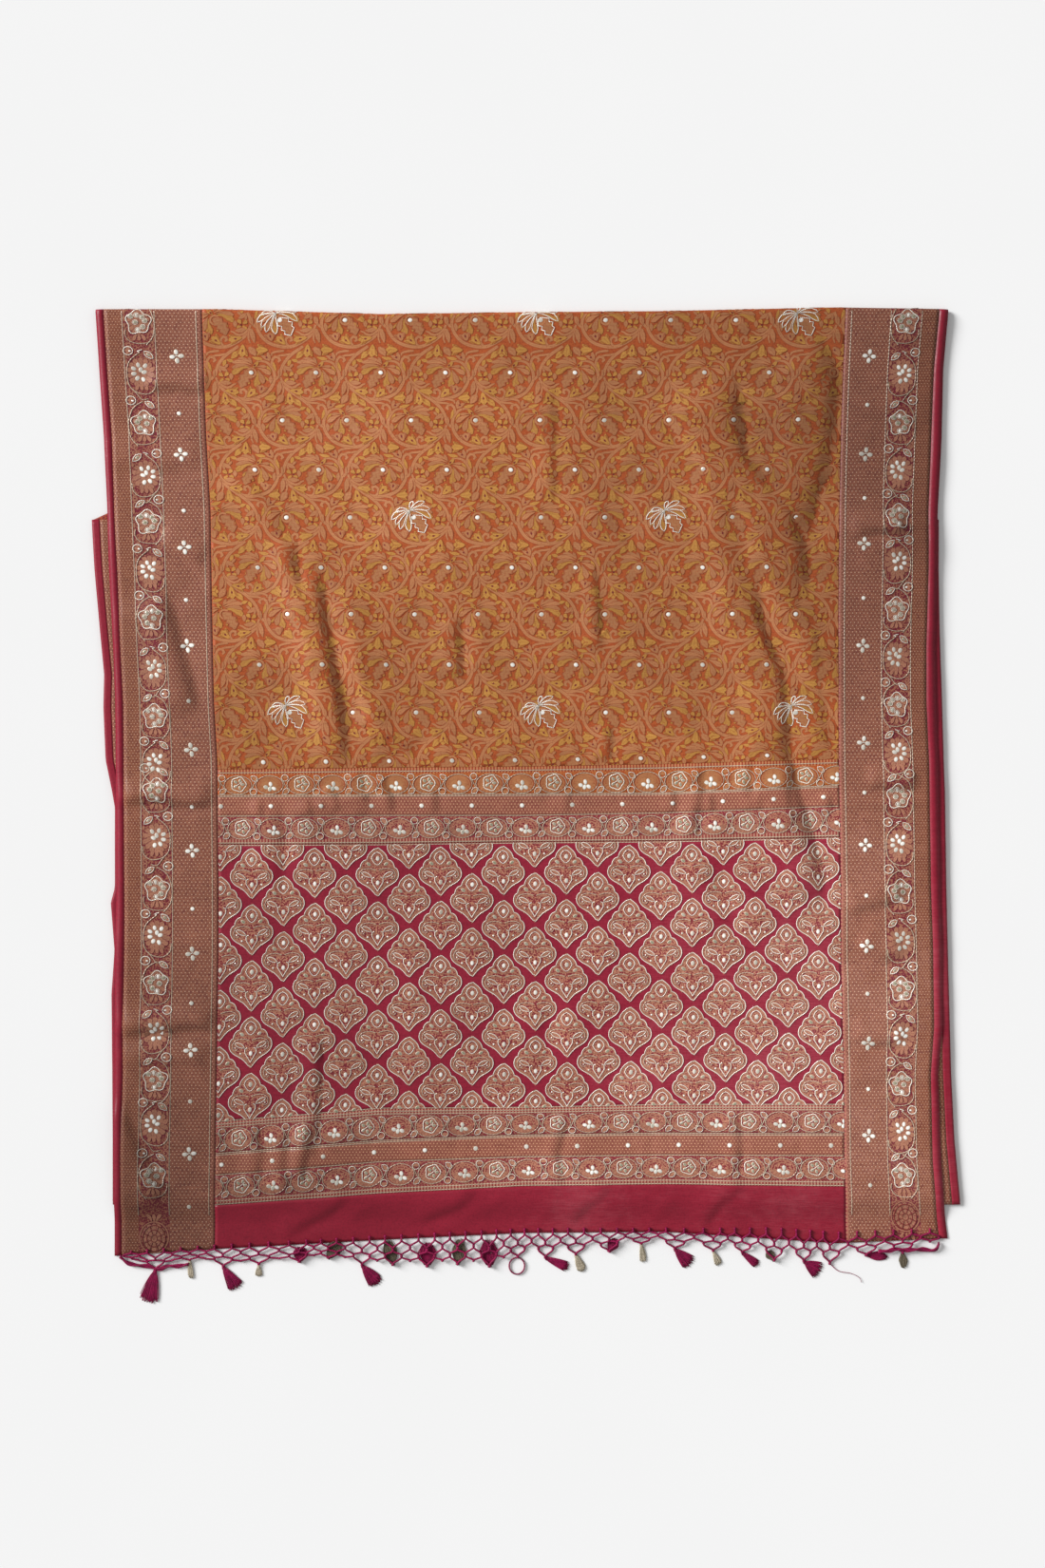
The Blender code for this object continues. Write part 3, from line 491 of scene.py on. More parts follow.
def smooth_line(points, step: float = 3.0, closed: bool = False) -> Array:
    """A soft curve through given points.

    Args:
        points: the places that it passes.
        step: about how far apart its points lie.
        closed: whether it comes back to its start.

    Returns:
        Its points, evenly spread between each two places.
    """
    places = [np.array(p, float) for p in points]
    if closed:
        places = [places[-1]] + places + places[:2]
    else:
        places = [2 * places[0] - places[1]] + places + [2 * places[-1] - places[-2]]
    found = []
    for a, b, c, d in zip(places, places[1:], places[2:], places[3:]):
        count = max(1, round(float(np.linalg.norm(c - b)) / step))
        t = (np.arange(count) / count)[:, None]
        found.append(0.5 * (2 * b + (c - a) * t + (2 * a - 5 * b + 4 * c - d) * t ** 2
                            + (3 * b - a - 3 * c + d) * t ** 3))
    return np.concatenate(found + ([] if closed else [places[-2][None]]))


def ellipse(x: float, y: float, wide: float, high: float, count: int) -> Array:
    """Points round an ellipse of these half sizes."""
    turn = np.arange(count) * 2 * math.pi / count
    return np.stack((x + wide * np.cos(turn), y + high * np.sin(turn)), axis=1)


def spiral(x: float, y: float, radius: float, start: float, turns: float) -> Array:
    """Points along a curl that winds in from its outer end, to the left where turns > 0."""
    count = max(6, round(abs(turns) * 13))
    share = np.linspace(0, 1, count)
    angle = math.radians(start) + share * turns * 2 * math.pi
    reach = radius * (1 - 0.86 * share)
    return np.stack((x + reach * np.cos(angle), y + reach * np.sin(angle)), axis=1)


def facing(turn: float) -> Array:
    """The unit direction at an angle in degrees."""
    return np.array((math.cos(math.radians(turn)), math.sin(math.radians(turn))))


def left_of(flow: Array) -> Array:
    """The directions to the left of a row of directions."""
    return np.stack((-flow[:, 1], flow[:, 0]), axis=1)


def flow_of(points: Array, closed: bool = False) -> Array:
    """The unit direction of a line at each of its points."""
    ahead = np.roll(points, -1, 0) - np.roll(points, 1, 0) if closed else np.gradient(points, axis=0)
    return ahead / np.maximum(np.linalg.norm(ahead, axis=1, keepdims=True), 1e-9)


def run_of(points: Array) -> Array:
    """How far along a line each of its points lies."""
    return np.concatenate(([0], np.cumsum(np.linalg.norm(np.diff(points, axis=0), axis=1))))


def bowed(base, tip, bend: float, way: Way) -> Arrays:
    """A petal's middle line, bowed by bend, with its side, its stations and its profile."""
    stations, profile = (np.array(part) for part in way.value)
    ahead = np.subtract(tip, base, dtype=float)
    side = left_of(ahead[None]) / np.linalg.norm(ahead)
    bow = (4 * bend * stations * (1 - stations))[:, None]
    return base + ahead * stations[:, None] + side * bow, side, stations, profile


def joined(parts: list[Arrays], faces_at: int) -> Arrays:
    """Joins meshes of one kind.

    Args:
        parts: the arrays of each, its points first.
        faces_at: which of the arrays is its faces.

    Returns:
        The same arrays for all of them as one mesh.
    """
    starts = np.cumsum([0] + [len(part[0]) for part in parts])
    return tuple(np.concatenate([np.where(a >= 0, a + start, -1) for a, start in zip(column, starts)]
                                if index == faces_at else column) for index, column in enumerate(zip(*parts)))


def grid_faces(rows: int, columns: int) -> Array:
    """The faces of a grid of points whose rows go down and columns go right, facing up."""
    here = (np.arange(rows)[:, None] * (columns + 1) + np.arange(columns)[None]).ravel()
    return np.stack((here, here + columns + 1, here + columns + 2, here + 1), axis=1)


@dataclass
class Figure:
    """Shapes drawn flat in millimetres, each with its lift, its own marks and its slot."""

    parts: list[Arrays] = field(default_factory=list)
    lift: float = 0.12

    def _keep(self, points, marks, faces, slot: int, tone: float) -> None:
        """Takes in a shape of its own points and faces."""
        self.parts.append((np.array(points, float), np.array(marks, float), np.full(len(points), tone),
                           np.array(faces, int), np.full(len(faces), slot)))
        self.lift += 0.012 if self.lift < 0.5 else -0.17

    def _strip(self, centre: Array, half: Array, runs: Array, slot: int, tone: float, closed: bool = False) -> None:
        """A flat strip along a line, pointed where its half width is nothing."""
        side = left_of(flow_of(centre, closed)) * half[:, None]
        points, marks, pairs, faces = [], [], [], []
        for at, out, wide, run in zip(centre, side, half, runs):
            ways = (0,) if wide < 0.02 else (1, -1)
            pairs.append((len(points), len(points) + len(ways) - 1))
            points += [(*(at + out * way), self.lift) for way in ways]
            marks += [((1 - way) / 2, run) for way in ways]
        for (a, b), (c, d) in zip(pairs, pairs[1:] + pairs[:1] * closed):
            corners = tuple(dict.fromkeys((a, b, d, c)))
            if len(corners) > 2:
                faces.append(corners + (-1,) * (4 - len(corners)))
        self._keep(points, marks, faces, slot, tone)

    def ribbon(self, centre, widths, slot: int = 0, tone: float = 0.5, closed: bool = False) -> None:
        """A flat strip of thread work along a line, of one width or of several in turn."""
        centre, widths = np.asarray(centre, float), np.atleast_1d(widths)
        half = np.interp(np.linspace(0, 1, len(centre)), np.linspace(0, 1, len(widths)), widths) / 2
        self._strip(centre, half, run_of(centre), slot, tone, closed)

    def oval(self, x: float, y: float, wide: float, high: float, slot: int) -> None:
        """A filled oval of these half sizes."""
        self.plate(lambda down: wide * math.sqrt(max(0.0, 1 - (down / high - 1) ** 2)), 2 * high, 12, 8, slot,
                   (x, y + high))

    def petal(self, base, tip, width: float, bend: float = 0.0, way: Way = Way.PETAL,
              slot: int = 0, tone: float = 0.5) -> None:
        """A petal or leaf from its base to its tip, bowed to one side by bend."""
        centre, _, stations, profile = bowed(base, tip, bend, way)
        self._strip(centre, profile * width / 2, stations, slot, tone)

    def rim(self, base, tip, width: float, bend: float, way: Way = Way.PETAL) -> None:
        """A silver thread couched round the edge of a petal."""
        centre, side, _, profile = bowed(base, tip, bend, way)
        out = side * profile[:, None] * width / 2
        self.cord(np.concatenate((centre + out, (centre - out)[::-1][1:-1])), 1.6, Slot.SILVER, 0.8, True)

    def floret(self, x: float, y: float, radius: float, count: int, turn: float, slot: int = 0) -> None:
        """A small open flower with a bare middle."""
        for i in range(count):
            out = facing(turn + 360 * i / count) * radius
            self.petal(out * 0.16 + (x, y), out + (x, y), radius * 0.78, 0.0, Way.DROP, slot, 0.4 + 0.2 * (i % 2))

    def cord(self, centre, width: float, slot: int = 0, tone: float = 0.5,
             closed: bool = False, height: float = 0.6) -> None:
        """A couched thread: a narrow strip with a raised middle."""
        centre = np.asarray(centre, float)
        side = left_of(flow_of(centre, closed)) * width * 0.48
        run, count = run_of(centre), len(centre)
        points = np.concatenate([np.column_stack((centre + side * way, np.full(count, self.lift + up)))
                                 for way, up in ((1, 0.0), (0, height), (-1, 0.0))])
        marks = np.concatenate([np.column_stack((np.full(count, across), run)) for across in (0.0, 0.5, 1.0)])
        here = np.arange(count if closed else count - 1)
        there = (here + 1) % count
        faces = np.concatenate([np.stack((here, here + count, there + count, there), axis=1) + k * count
                                for k in (0, 1)])
        self._keep(points, marks, faces, slot, tone)

    def stud(self, x: float, y: float, long: float, wide: float, turn: float, tone: float) -> None:
        """A mirror or sequin: the shaped master, set to its size and turn; its tone sets the painted reflection on its
        glass, from grey-green to near white.
        """
        master, faces = STUD.shape()
        local, ahead = master * (long / 2, wide / 2, 1.0), facing(turn)[None]
        flat = (x, y) + local[:, :1] * ahead + local[:, 1:2] * left_of(ahead)
        self._keep(np.column_stack((flat, local[:, 2] + self.lift)), master[:, :2] / 2 + 0.5, faces,
                   Slot.GLASS, tone)

    def plate(self, outline: Callable, length: float, rows: int, cells: int, slot: int, top: Point = (0, 0)) -> None:
        """A filled shape, given by its half width at each distance down from its top."""
        down = np.linspace(0.0, 1.0, rows + 1)
        half = np.maximum(np.array([outline(length * d) for d in down]), 0.05)
        across = np.linspace(-1, 1, cells + 1)
        x = half[:, None] * across[None]
        y = np.broadcast_to(-length * down[:, None], x.shape)
        points = np.column_stack((x.ravel() + top[0], y.ravel() + top[1], np.full(x.size, self.lift)))
        marks = np.column_stack((np.broadcast_to(across / 2 + 0.5, x.shape).ravel(),
                                 np.broadcast_to(down[:, None], x.shape).ravel()))
        self._keep(points, marks, grid_faces(rows, cells), slot, 0.5)

    def arrays(self) -> Arrays:
        """Its points, marks, tones, faces and slots, joined."""
        return joined(self.parts, 3)


def choose(piece: Thing | None) -> None:
    """Selects one piece alone, or none, so that an operator acts on it and on nothing else."""
    for chosen in bpy.context.selected_objects:
        chosen.select_set(False)
    if piece:
        piece.select_set(True)
        bpy.context.view_layer.objects.active = piece


@contextmanager
def editing(piece: Thing) -> Iterator[None]:
    """Edit mode on one piece, with all of it selected."""
    choose(piece)
    bpy.ops.object.mode_set(mode="EDIT")
    bpy.ops.mesh.select_all(action="SELECT")
    yield
    bpy.ops.object.mode_set(mode="OBJECT")


class Stud:
    """The one mirror that every mirror and sequin is a copy of."""

    def __init__(self) -> None:
        """Shapes it from a disc: a rolled rim, then a slightly raised glass."""
        choose(None)
        bpy.ops.mesh.primitive_circle_add(vertices=9, radius=1.0, fill_type="NGON")
        made = bpy.context.object
        with editing(made):
            bpy.ops.mesh.inset(thickness=0.24)
            bpy.ops.transform.translate(value=(0, 0, 0.3))
            bpy.ops.mesh.inset(thickness=0.5)
            bpy.ops.transform.translate(value=(0, 0, 0.03))
            bpy.ops.mesh.poke()
        self._points = np.array([v.co for v in made.data.vertices])
        self._faces = np.array([tuple(p.vertices) + (-1,) * (4 - len(p.vertices)) for p in made.data.polygons])
        bpy.data.objects.remove(made)

    def shape(self) -> Arrays:
        """Its points, one across in radius, and its faces."""
        return self._points, self._faces


STUD = Stud()


class Layout:
    """Copies of figures, set out across and along one stretch of the cloth."""

    def __init__(self, seed: int) -> None:
        """Starts empty, with its own order of small differences."""
        self.parts: list[Arrays] = []
        self.chance = np.random.default_rng(seed)

    def add(self, figure: Arrays, across: float, along: float, flip: int = 1) -> None:
        """Sets one copy in place, mirrored from side to side where flip is -1."""
        points, marks, tones, faces, slots = figure
        if flip < 0:
            faces = np.where(faces[:, 3:] >= 0, faces[:, ::-1], faces[:, (2, 1, 0, 3)])
        tones = np.clip(tones + self.chance.uniform(-0.14, 0.14), 0, 1)
        self.parts.append((points * (flip, 1, 1) + (across, along, 0), marks, tones, faces, slots))


def mesh_of(name: str, points: Array, faces: Array, slots: Array | None = None) -> bpy.types.Mesh:
    """A smooth mesh from arrays.

    Args:
        name: its name.
        points: one row each, in the units they are wanted in.
        faces: four corners each, the last -1 for a triangle.
        slots: the material of each face.

    Returns:
        The mesh.
    """
    mesh = bpy.data.meshes.new(name)
    counts = np.where(faces[:, 3] >= 0, 4, 3)
    starts = np.concatenate(([0], np.cumsum(counts)[:-1]))
    corners = faces[faces >= 0]
    mesh.vertices.add(len(points))
    mesh.vertices.foreach_set("co", np.ascontiguousarray(points, np.float32).ravel())
    mesh.loops.add(len(corners))
    mesh.loops.foreach_set("vertex_index", corners.astype(np.int32))
    mesh.polygons.add(len(faces))
    mesh.polygons.foreach_set("loop_start", starts.astype(np.int32))
    mesh.polygons.foreach_set("use_smooth", np.ones(len(faces), bool))
    if slots is not None:
        mesh.polygons.foreach_set("material_index", slots.astype(np.int32))
    mesh.update(calc_edges=True)
    return mesh


def add_map(mesh: bpy.types.Mesh, name: str, values: Array) -> None:
    """Gives a mesh a UV map from one pair of values for each of its points."""
    corners = np.zeros(len(mesh.loops), np.int32)
    mesh.loops.foreach_get("vertex_index", corners)
    layer = mesh.uv_layers.new(name=name)
    layer.data.foreach_set("uv", np.ascontiguousarray(values[corners], np.float32).ravel())


def place_object(name: str, mesh: bpy.types.Mesh, materials: list[Finish]) -> Thing:
    """Puts a mesh in the scene with its materials."""
    made = bpy.data.objects.new(name, mesh)
    bpy.context.scene.collection.objects.link(made)
    for material in materials:
        mesh.materials.append(material)
    return made


def apply_all(piece: Thing) -> None:
    """Applies a piece's modifiers."""
    choose(piece)
    for modifier in list(piece.modifiers):
        bpy.ops.object.modifier_apply(modifier=modifier.name)


def settle(piece: Thing, slot: str, replaces: tuple[str, ...] = ()) -> Thing:
    """Says what a finished piece rides on, and hides the solid parts that it stands for."""
    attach(piece, BODY)
    if replaces:
        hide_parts(*replaces)
    LOG.info("%s: %d faces", piece.name, len(piece.data.polygons))
    return piece


@dataclass
class Stretch:
    """One stretch's own coordinates: across and along in millimetres, to plan places."""

    to_plan: Callable
    low: Point
    high: Point

    def cut(self, made: Thing) -> None:
        """Cuts off what a flat piece has outside the stretch."""
        with editing(made):
            for place, way in (((self.low[0], 0, 0), (-1, 0, 0)), ((self.high[0], 0, 0), (1, 0, 0)),
                               ((0, self.low[1], 0), (0, -1, 0)), ((0, self.high[1], 0), (0, 1, 0))):
                bpy.ops.mesh.select_all(action="SELECT")
                bpy.ops.mesh.bisect(plane_co=place, plane_no=way, clear_outer=True, threshold=1e-5)

    def dress(self, name: str, layout: Layout, cloth: ClothMap, materials: list[Finish], slot: str) -> Thing:
        """Lays a layout of figures on the cloth as one piece.

        Args:
            name: the piece's name.
            layout: its figures.
            cloth: the map of the cloth.
            materials: by slot number.
            slot: not used.

        Returns:
            The finished piece.
        """
        points, marks, tones, faces, slots = joined(layout.parts, 3)
        mesh = mesh_of(name, points, faces, slots)
        add_map(mesh, "figure", marks)
        mesh.attributes.new("tone", "FLOAT", "POINT").data.foreach_set("value", tones.astype(np.float32))
        made = place_object(name, mesh, materials)
        self.cut(made)
        flat = np.zeros(len(mesh.vertices) * 3)
        mesh.vertices.foreach_get("co", flat)
        flat = flat.reshape(-1, 3)
        add_map(mesh, "cloth", flat[:, :2] * MM)
        laid = cloth.lay(*self.to_plan(flat[:, 0], flat[:, 1]), flat[:, 2])
        laid[:, 2] = np.maximum(laid[:, 2], LOWEST * MM)
        mesh.vertices.foreach_set("co", laid.astype(np.float32).ravel())
        mesh.update()
        return settle(made, slot)


def border_stretch(side: str) -> Stretch:
    """A border's places: across from its satin towards the field, along as the plan's y."""
    def to_plan(across: Array, along: Array) -> Arrays:
        """The plan place of each."""
        outer, inner = edge(side + "_satin", along), edge(side + "_seam", along)
        return mix(outer, inner, across / BORDER_WIDE), along

    return Stretch(to_plan, (0.4, -604.0), (BORDER_WIDE - 0.4, 678.0))


def band_stretch(first: str, last: str, height: float) -> Stretch:
    """A band's places: across from the left seam, along down from its first line, below 0."""
    def to_plan(across: Array, along: Array) -> Arrays:
        """The plan place of each."""
        x = across - FIELD_WIDE / 2
        for _ in range(3):
            y = mix(line(first, x), line(last, x), -along / height)
            x = mix(edge("left_seam", y), edge("right_seam", y), across / FIELD_WIDE)
        return x, y

    return Stretch(to_plan, (0.4, -height + 0.1), (FIELD_WIDE - 0.4, -0.1))


def couched(run: Array, offsets, tone: float) -> Arrays:
    """Straight silver threads side by side, along x where run is a row of x, else along y.

    Args:
        run: the places along each thread, x and y, with 0 across it.
        offsets: where each thread lies across, as x and y.
        tone: their tone.

    Returns:
        The figure's arrays.
    """
    f = Figure()
    for offset in offsets:
        f.lift = 0.15
        f.cord(run + offset, 1.2, Slot.DULL, tone, height=0.4)
    return f.arrays()


class Slot(IntEnum):
    """The finishes that figures are made in, in the order of each figure piece's slots."""

    TAN = 0
    GOLD = 1
    ROSE = 2
    SILVER = 3
    GLASS = 4
    WINE = 5
    MOTTLED = 6
    DULL = 7


class Nodes:
    """A node tree, made one node at a time."""

    def __init__(self, tree: bpy.types.NodeTree) -> None:
        """Keeps the tree."""
        self.tree = tree

    def join(self, value, socket: Socket) -> None:
        """Links an output to a socket, or sets the socket to a value."""
        if isinstance(value, Socket):
            self.tree.links.new(value, socket)
        else:
            socket.default_value = value

    def add(self, kind: str, inputs: dict | None = None, **settings) -> bpy.types.NodeOutputs:
        """Adds a node.

        Args:
            kind: its type.
            inputs: a value or an output for each input, by name or number.
            settings: its own options.

        Returns:
            Its outputs.
        """
        node = self.tree.nodes.new(kind)
        for key, value in settings.items():
            setattr(node, key, value)
        for key, value in (inputs or {}).items():
            self.join(value, node.inputs[key])
        return node.outputs

    def math(self, operation: str, *values) -> Socket:
        """The result of one sum."""
        return self.add("ShaderNodeMath", dict(enumerate(values)), operation=operation)[0]

    def vector(self, operation: str, first, second, output: int = 0) -> Socket:
        """The result of one sum of vectors, where SCALE takes a number."""
        inputs = {0: first, 3 if operation == "SCALE" else 1: second}
        return self.add("ShaderNodeVectorMath", inputs, operation=operation)[output]

    def split(self, place) -> bpy.types.NodeOutputs:
        """The three parts of a place."""
        return self.add("ShaderNodeSeparateXYZ", {0: place})

    def about(self, value, size: float | Socket) -> Socket:
        """How far a value is from a half, times a size."""
        return self.math("MULTIPLY", self.math("SUBTRACT", value, 0.5), size)

    def folded(self, value) -> Socket:
        """0 where a value is a half, and 1 where it is 0 or 1."""
        return self.math("ABSOLUTE", self.math("SUBTRACT", self.math("MULTIPLY", value, 2.0), 1.0))

    def reach(self, dx, dy) -> Socket:
        """The distance that goes with two sides."""
        return self.math("SQRT", self.math("ADD", self.math("MULTIPLY", dx, dx), self.math("MULTIPLY", dy, dy)))

    def rise(self, value, low: float, high: float, start: float = 0.0, end: float = 1.0) -> Socket:
        """A soft change from start to end as a value goes from low to high."""
        return self.add("ShaderNodeMapRange", {0: value, 1: low, 2: high, 3: start, 4: end},
                        interpolation_type="SMOOTHSTEP")[0]

    def blend(self, share, first, second) -> Socket:
        """A colour between two."""
        return self.add("ShaderNodeMix", {0: share, 6: first, 7: second}, data_type="RGBA")[2]

    def noise(self, place, scale: float, detail: float = 2.0, rough: float = 0.5) -> Socket:
        """Soft noise from 0 to 1."""
        return self.add("ShaderNodeTexNoise", {"Vector": place, "Scale": scale, "Detail": detail,
                                               "Roughness": rough})[0]


def colour(code: str) -> tuple[float, float, float, float]:
    """A linear colour from its six-figure screen code."""
    parts = [int(code[i:i + 2], 16) / 255 for i in (0, 2, 4)]
    return (*(p / 12.92 if p <= 0.04045 else ((p + 0.055) / 1.055) ** 2.4 for p in parts), 1.0)


class Group(Enum):
    """The shared effects."""

    LUSTRE = "silk_lustre"
    WEAVE = "silk_weave"
    DOTS = "dot_lattice"
    EDGES = "figure_edges"
    TWIST = "thread_twist"


class Effects:
    """Builds each shared node group once."""

    def __init__(self) -> None:
        """Builds them all."""
        self.trees: dict[Group, bpy.types.NodeTree] = {}
        self._make(Group.LUSTRE, {"Place": "Vector", "Color": "Color", "Depth": "Float"}, {"Color": "Color"},
                   self._lustre)
        self._make(Group.WEAVE, {"Place": "Vector"}, {"Height": "Float", "Thread": "Float"}, self._weave)
        self._make(Group.DOTS, {"Place": "Vector", "Across": "Float", "Along": "Float", "Size": "Float"},
                   {"Dot": "Float", "Rim": "Float"}, self._dots)
        self._make(Group.EDGES, {"Map": "Vector", "Start": "Float"}, {"Edge": "Float", "Vein": "Float"}, self._edges)
        self._make(Group.TWIST, {"Map": "Vector", "Pitch": "Float"}, {"Gap": "Float", "Height": "Float"}, self._twist)

    def _make(self, kind: Group, inputs: dict[str, str], outputs: dict[str, str], build: Callable) -> None:
        """A new group with its sockets, filled by build."""
        tree = bpy.data.node_groups.new(kind.value, "ShaderNodeTree")
        for way, sockets in (("INPUT", inputs), ("OUTPUT", outputs)):
            for name, sort in sockets.items():
                tree.interface.new_socket(name=name, in_out=way, socket_type="NodeSocket" + sort)
        nodes = Nodes(tree)
        out = tree.nodes.new("NodeGroupOutput").inputs
        for name, value in build(nodes, nodes.add("NodeGroupInput")).items():
            nodes.join(value, out[name])
        self.trees[kind] = tree

    @staticmethod
    def _lustre(n: Nodes, given) -> dict[str, Socket]:
        """Broad clouds and fine slubs, with painted light and shade across the cloth and a painted grey sheen where it
        is made lightest.
        """
        place = given["Place"]
        broad, small = n.noise(place, 7.0, 3.0, 0.55), n.noise(place, 70.0, 2.0)
        slub = n.noise(n.vector("MULTIPLY", place, (60.0, 900.0, 60.0)), 1.0, 1.0)
        total = n.about(broad, 0.5)
        # Painted light and shade: darker towards the lower left and the upper right of the cloth, lighter towards the
        # lower right, the upper left and the middle of the lower end, each fading with distance
        for corner, reach, change in (((-0.60, -0.66, 0.0), 0.70, -0.42), ((0.62, 0.62, 0.0), 0.72, -0.34),
                                      ((0.40, -0.30, 0.0), 0.58, 0.26), ((-0.30, 0.50, 0.0), 0.45, 0.16),
                                      ((0.02, -0.62, 0.0), 0.32, 0.14)):
            away = n.vector("DISTANCE", place, corner, 1)
            total = n.math("ADD", total, n.rise(away, 0.05, reach, change, 0.0))
        total = n.math("ADD", total, n.about(small, 0.22))
        total = n.math("ADD", total, n.about(slub, 0.34))
        factor = n.math("ADD", 1.0, n.math("MULTIPLY", total, given["Depth"]))
        # A painted grey sheen, added where the colour is made lightest
        painted_sheen = n.math("MULTIPLY", n.rise(total, 0.1, 0.5), 0.035)
        return {"Color": n.vector("ADD", n.vector("SCALE", given["Color"], factor), painted_sheen)}

    @staticmethod
    def _weave(n: Nodes, given) -> dict[str, Socket]:
        """Threads both ways, a little uneven."""
        warp, weft = (n.noise(n.vector("MULTIPLY", given["Place"], size), 1.0, 0.0)
                      for size in ((1500.0, 160.0, 160.0), (160.0, 1300.0, 160.0)))
        height = n.math("ADD", n.math("MULTIPLY", warp, 0.5), n.math("MULTIPLY", weft, 0.5))
        return {"Height": height, "Thread": warp}

    @staticmethod
    def _dots(n: Nodes, given) -> dict[str, Socket]:
        """Dots in staggered rows, each with a darker rim."""
        split = n.split(given["Place"])
        row = n.math("DIVIDE", split[1], given["Along"])
        index = n.math("ADD", n.math("FLOOR", row), 4000.0)
        odd = n.math("MULTIPLY", n.math("MODULO", index, 2.0), 0.5)
        cell = n.math("ADD", n.math("DIVIDE", split[0], given["Across"]), odd)
        away = n.reach(n.about(n.math("FRACT", cell), given["Across"]),
                           n.about(n.math("FRACT", row), given["Along"]))
        ratio = n.math("DIVIDE", away, given["Size"])
        return {"Dot": n.rise(ratio, 0.75, 1.15, 1.0, 0.0), "Rim": n.rise(ratio, 1.0, 2.0, 1.0, 0.0)}

    @staticmethod
    def _edges(n: Nodes, given) -> dict[str, Socket]:
        """The outline of a woven figure, and a vein down its middle."""
        side = n.folded(n.split(given["Map"])[0])
        return {"Edge": n.rise(side, given["Start"], 1.0), "Vein": n.rise(side, 0.0, 0.22, 1.0, 0.0)}

    @staticmethod
    def _twist(n: Nodes, given) -> dict[str, Socket]:
        """The turns of a couched thread, pinched where the stitches hold it."""
        split = n.split(given["Map"])
        run = n.math("ADD", n.math("DIVIDE", split[1], given["Pitch"]), n.math("MULTIPLY", split[0], 0.5))
        wave = n.folded(n.math("FRACT", run))
        return {"Gap": n.rise(wave, 0.72, 1.0), "Height": n.math("SUBTRACT", 1.0, wave)}


EFFECTS = Effects()


class Recipe(Nodes):
    """A material in the making: its nodes, its shader and the place on its piece."""

    def __init__(self, name: str) -> None:
        """Starts it."""
        self.made = bpy.data.materials.new(name)
        self.made.use_nodes = True
        super().__init__(self.made.node_tree)
        self.place = self.add("ShaderNodeTexCoord")["Object"]

    def map(self, name: str) -> Socket:
        """The place on one of the piece's UV maps."""
        return self.add("ShaderNodeUVMap", uv_map=name)[0]

    def tone(self) -> Socket:
        """The tone of the copy."""
        return self.add("ShaderNodeAttribute", attribute_name="tone")["Fac"]

    def use(self, kind: Group, **inputs) -> bpy.types.NodeOutputs:
        """Places a shared group, with its inputs."""
        return self.add("ShaderNodeGroup", inputs, node_tree=EFFECTS.trees[kind])

    def lustre(self, tint, depth: float = 1.0) -> Socket:
        """A colour with the cloth's clouds and slubs in it, and its painted light, shade and sheen."""
        return self.use(Group.LUSTRE, Place=self.place, Color=tint, Depth=depth)[0]

    def bump(self, height, strength: float, distance: float) -> Socket:
        """The normal that goes with a height."""
        return self.add("ShaderNodeBump", {"Strength": strength, "Distance": distance, "Height": height})[0]

    def finish(self, **inputs) -> Finish:
        """Joins the shader's inputs, named with _ for each space, and gives the material."""
        for key, value in inputs.items():
            self.join(value, self.tree.nodes["Principled BSDF"].inputs[key.replace("_", " ")])
        return self.made


# Where the toothed strip starts across a border, and how far in its teeth reach, in metres
TEETH_START = (0.1216, 0.1222)
TOOTH_REACH = (0.1290, 0.1228)


class Pattern(Enum):
    """The small woven repeats that are drawn by the finish itself."""

    PLAIN = "plain"
    DOTTED = "dotted"
    TEETH = "teeth"
    STRIPES = "stripes"
    SPECKLED = "speckled"


@dataclass(frozen=True)
class Silk:
    """A silk ground: its colours, its shine, how deep its clouds and its painted light and shade go, and its small
    repeat.
    """

    name: str
    ground: str
    deep: str
    light: str = "B98874"
    pattern: Pattern = Pattern.PLAIN
    pitch: Point = (5.3, 4.2)
    size: float = 1.05
    roughness: float = 0.46
    sheen: float = 0.06
    shine: float = 0.22
    # How strongly the cloth's clouds, slubs and painted light and shade act on this silk
    depth: float = 1.0
    grain: float = 620.0
    cover: float = 0.52

    def build(self) -> Finish:
        """Its material."""
        m = Recipe(self.name)
        ground, deep, light = colour(self.ground), colour(self.deep), colour(self.light)
        across, along = self.pitch[0] * MM, self.pitch[1] * MM
        tint = m.blend(m.rise(m.noise(m.place, 420.0, 1.0), 0.4, 0.75), ground, deep)
        if self.pattern is Pattern.DOTTED:
            dots = m.use(Group.DOTS, Place=m.map("cloth"), Across=across, Along=along, Size=self.size * MM)
            tint = m.blend(dots["Dot"], m.blend(dots["Rim"], tint, deep), light)
        elif self.pattern is Pattern.TEETH:
            cloth = m.map("cloth")
            split = m.split(cloth)
            wave = m.folded(m.math("FRACT", m.math("DIVIDE", split[1], along)))
            tooth = m.rise(m.math("SUBTRACT", wave, m.rise(split[0], *TOOTH_REACH)), -0.12, 0.12)
            small = m.use(Group.DOTS, Place=cloth, Across=0.0042, Along=0.0036, Size=0.0009)
            tint = m.blend(small["Dot"], tint, colour("B98874"))
            tint = m.blend(m.rise(split[0], *TEETH_START), tint, m.blend(tooth, light, colour("74202C")))
        elif self.pattern is Pattern.STRIPES:
            dash = m.math("FRACT", m.math("DIVIDE", m.split(m.map("cloth"))[0], across))
            tint = m.blend(m.rise(dash, 0.42, 0.58), tint, light)
        elif self.pattern is Pattern.SPECKLED:
            speck = m.noise(m.place, self.grain, 1.0)
            tint = m.blend(m.rise(speck, self.cover, self.cover + 0.1), tint, light)
        weave = m.use(Group.WEAVE, Place=m.place)
        rough = m.rise(weave["Thread"], 0.2, 0.8, self.roughness - 0.06, self.roughness + 0.08)
        return m.finish(Base_Color=m.lustre(tint, self.depth), Roughness=rough,
                        Normal=m.bump(weave["Height"], 0.5, 0.00025), Sheen_Weight=self.sheen, Sheen_Roughness=0.4,
                        Sheen_Tint=ground, Specular_IOR_Level=self.shine)


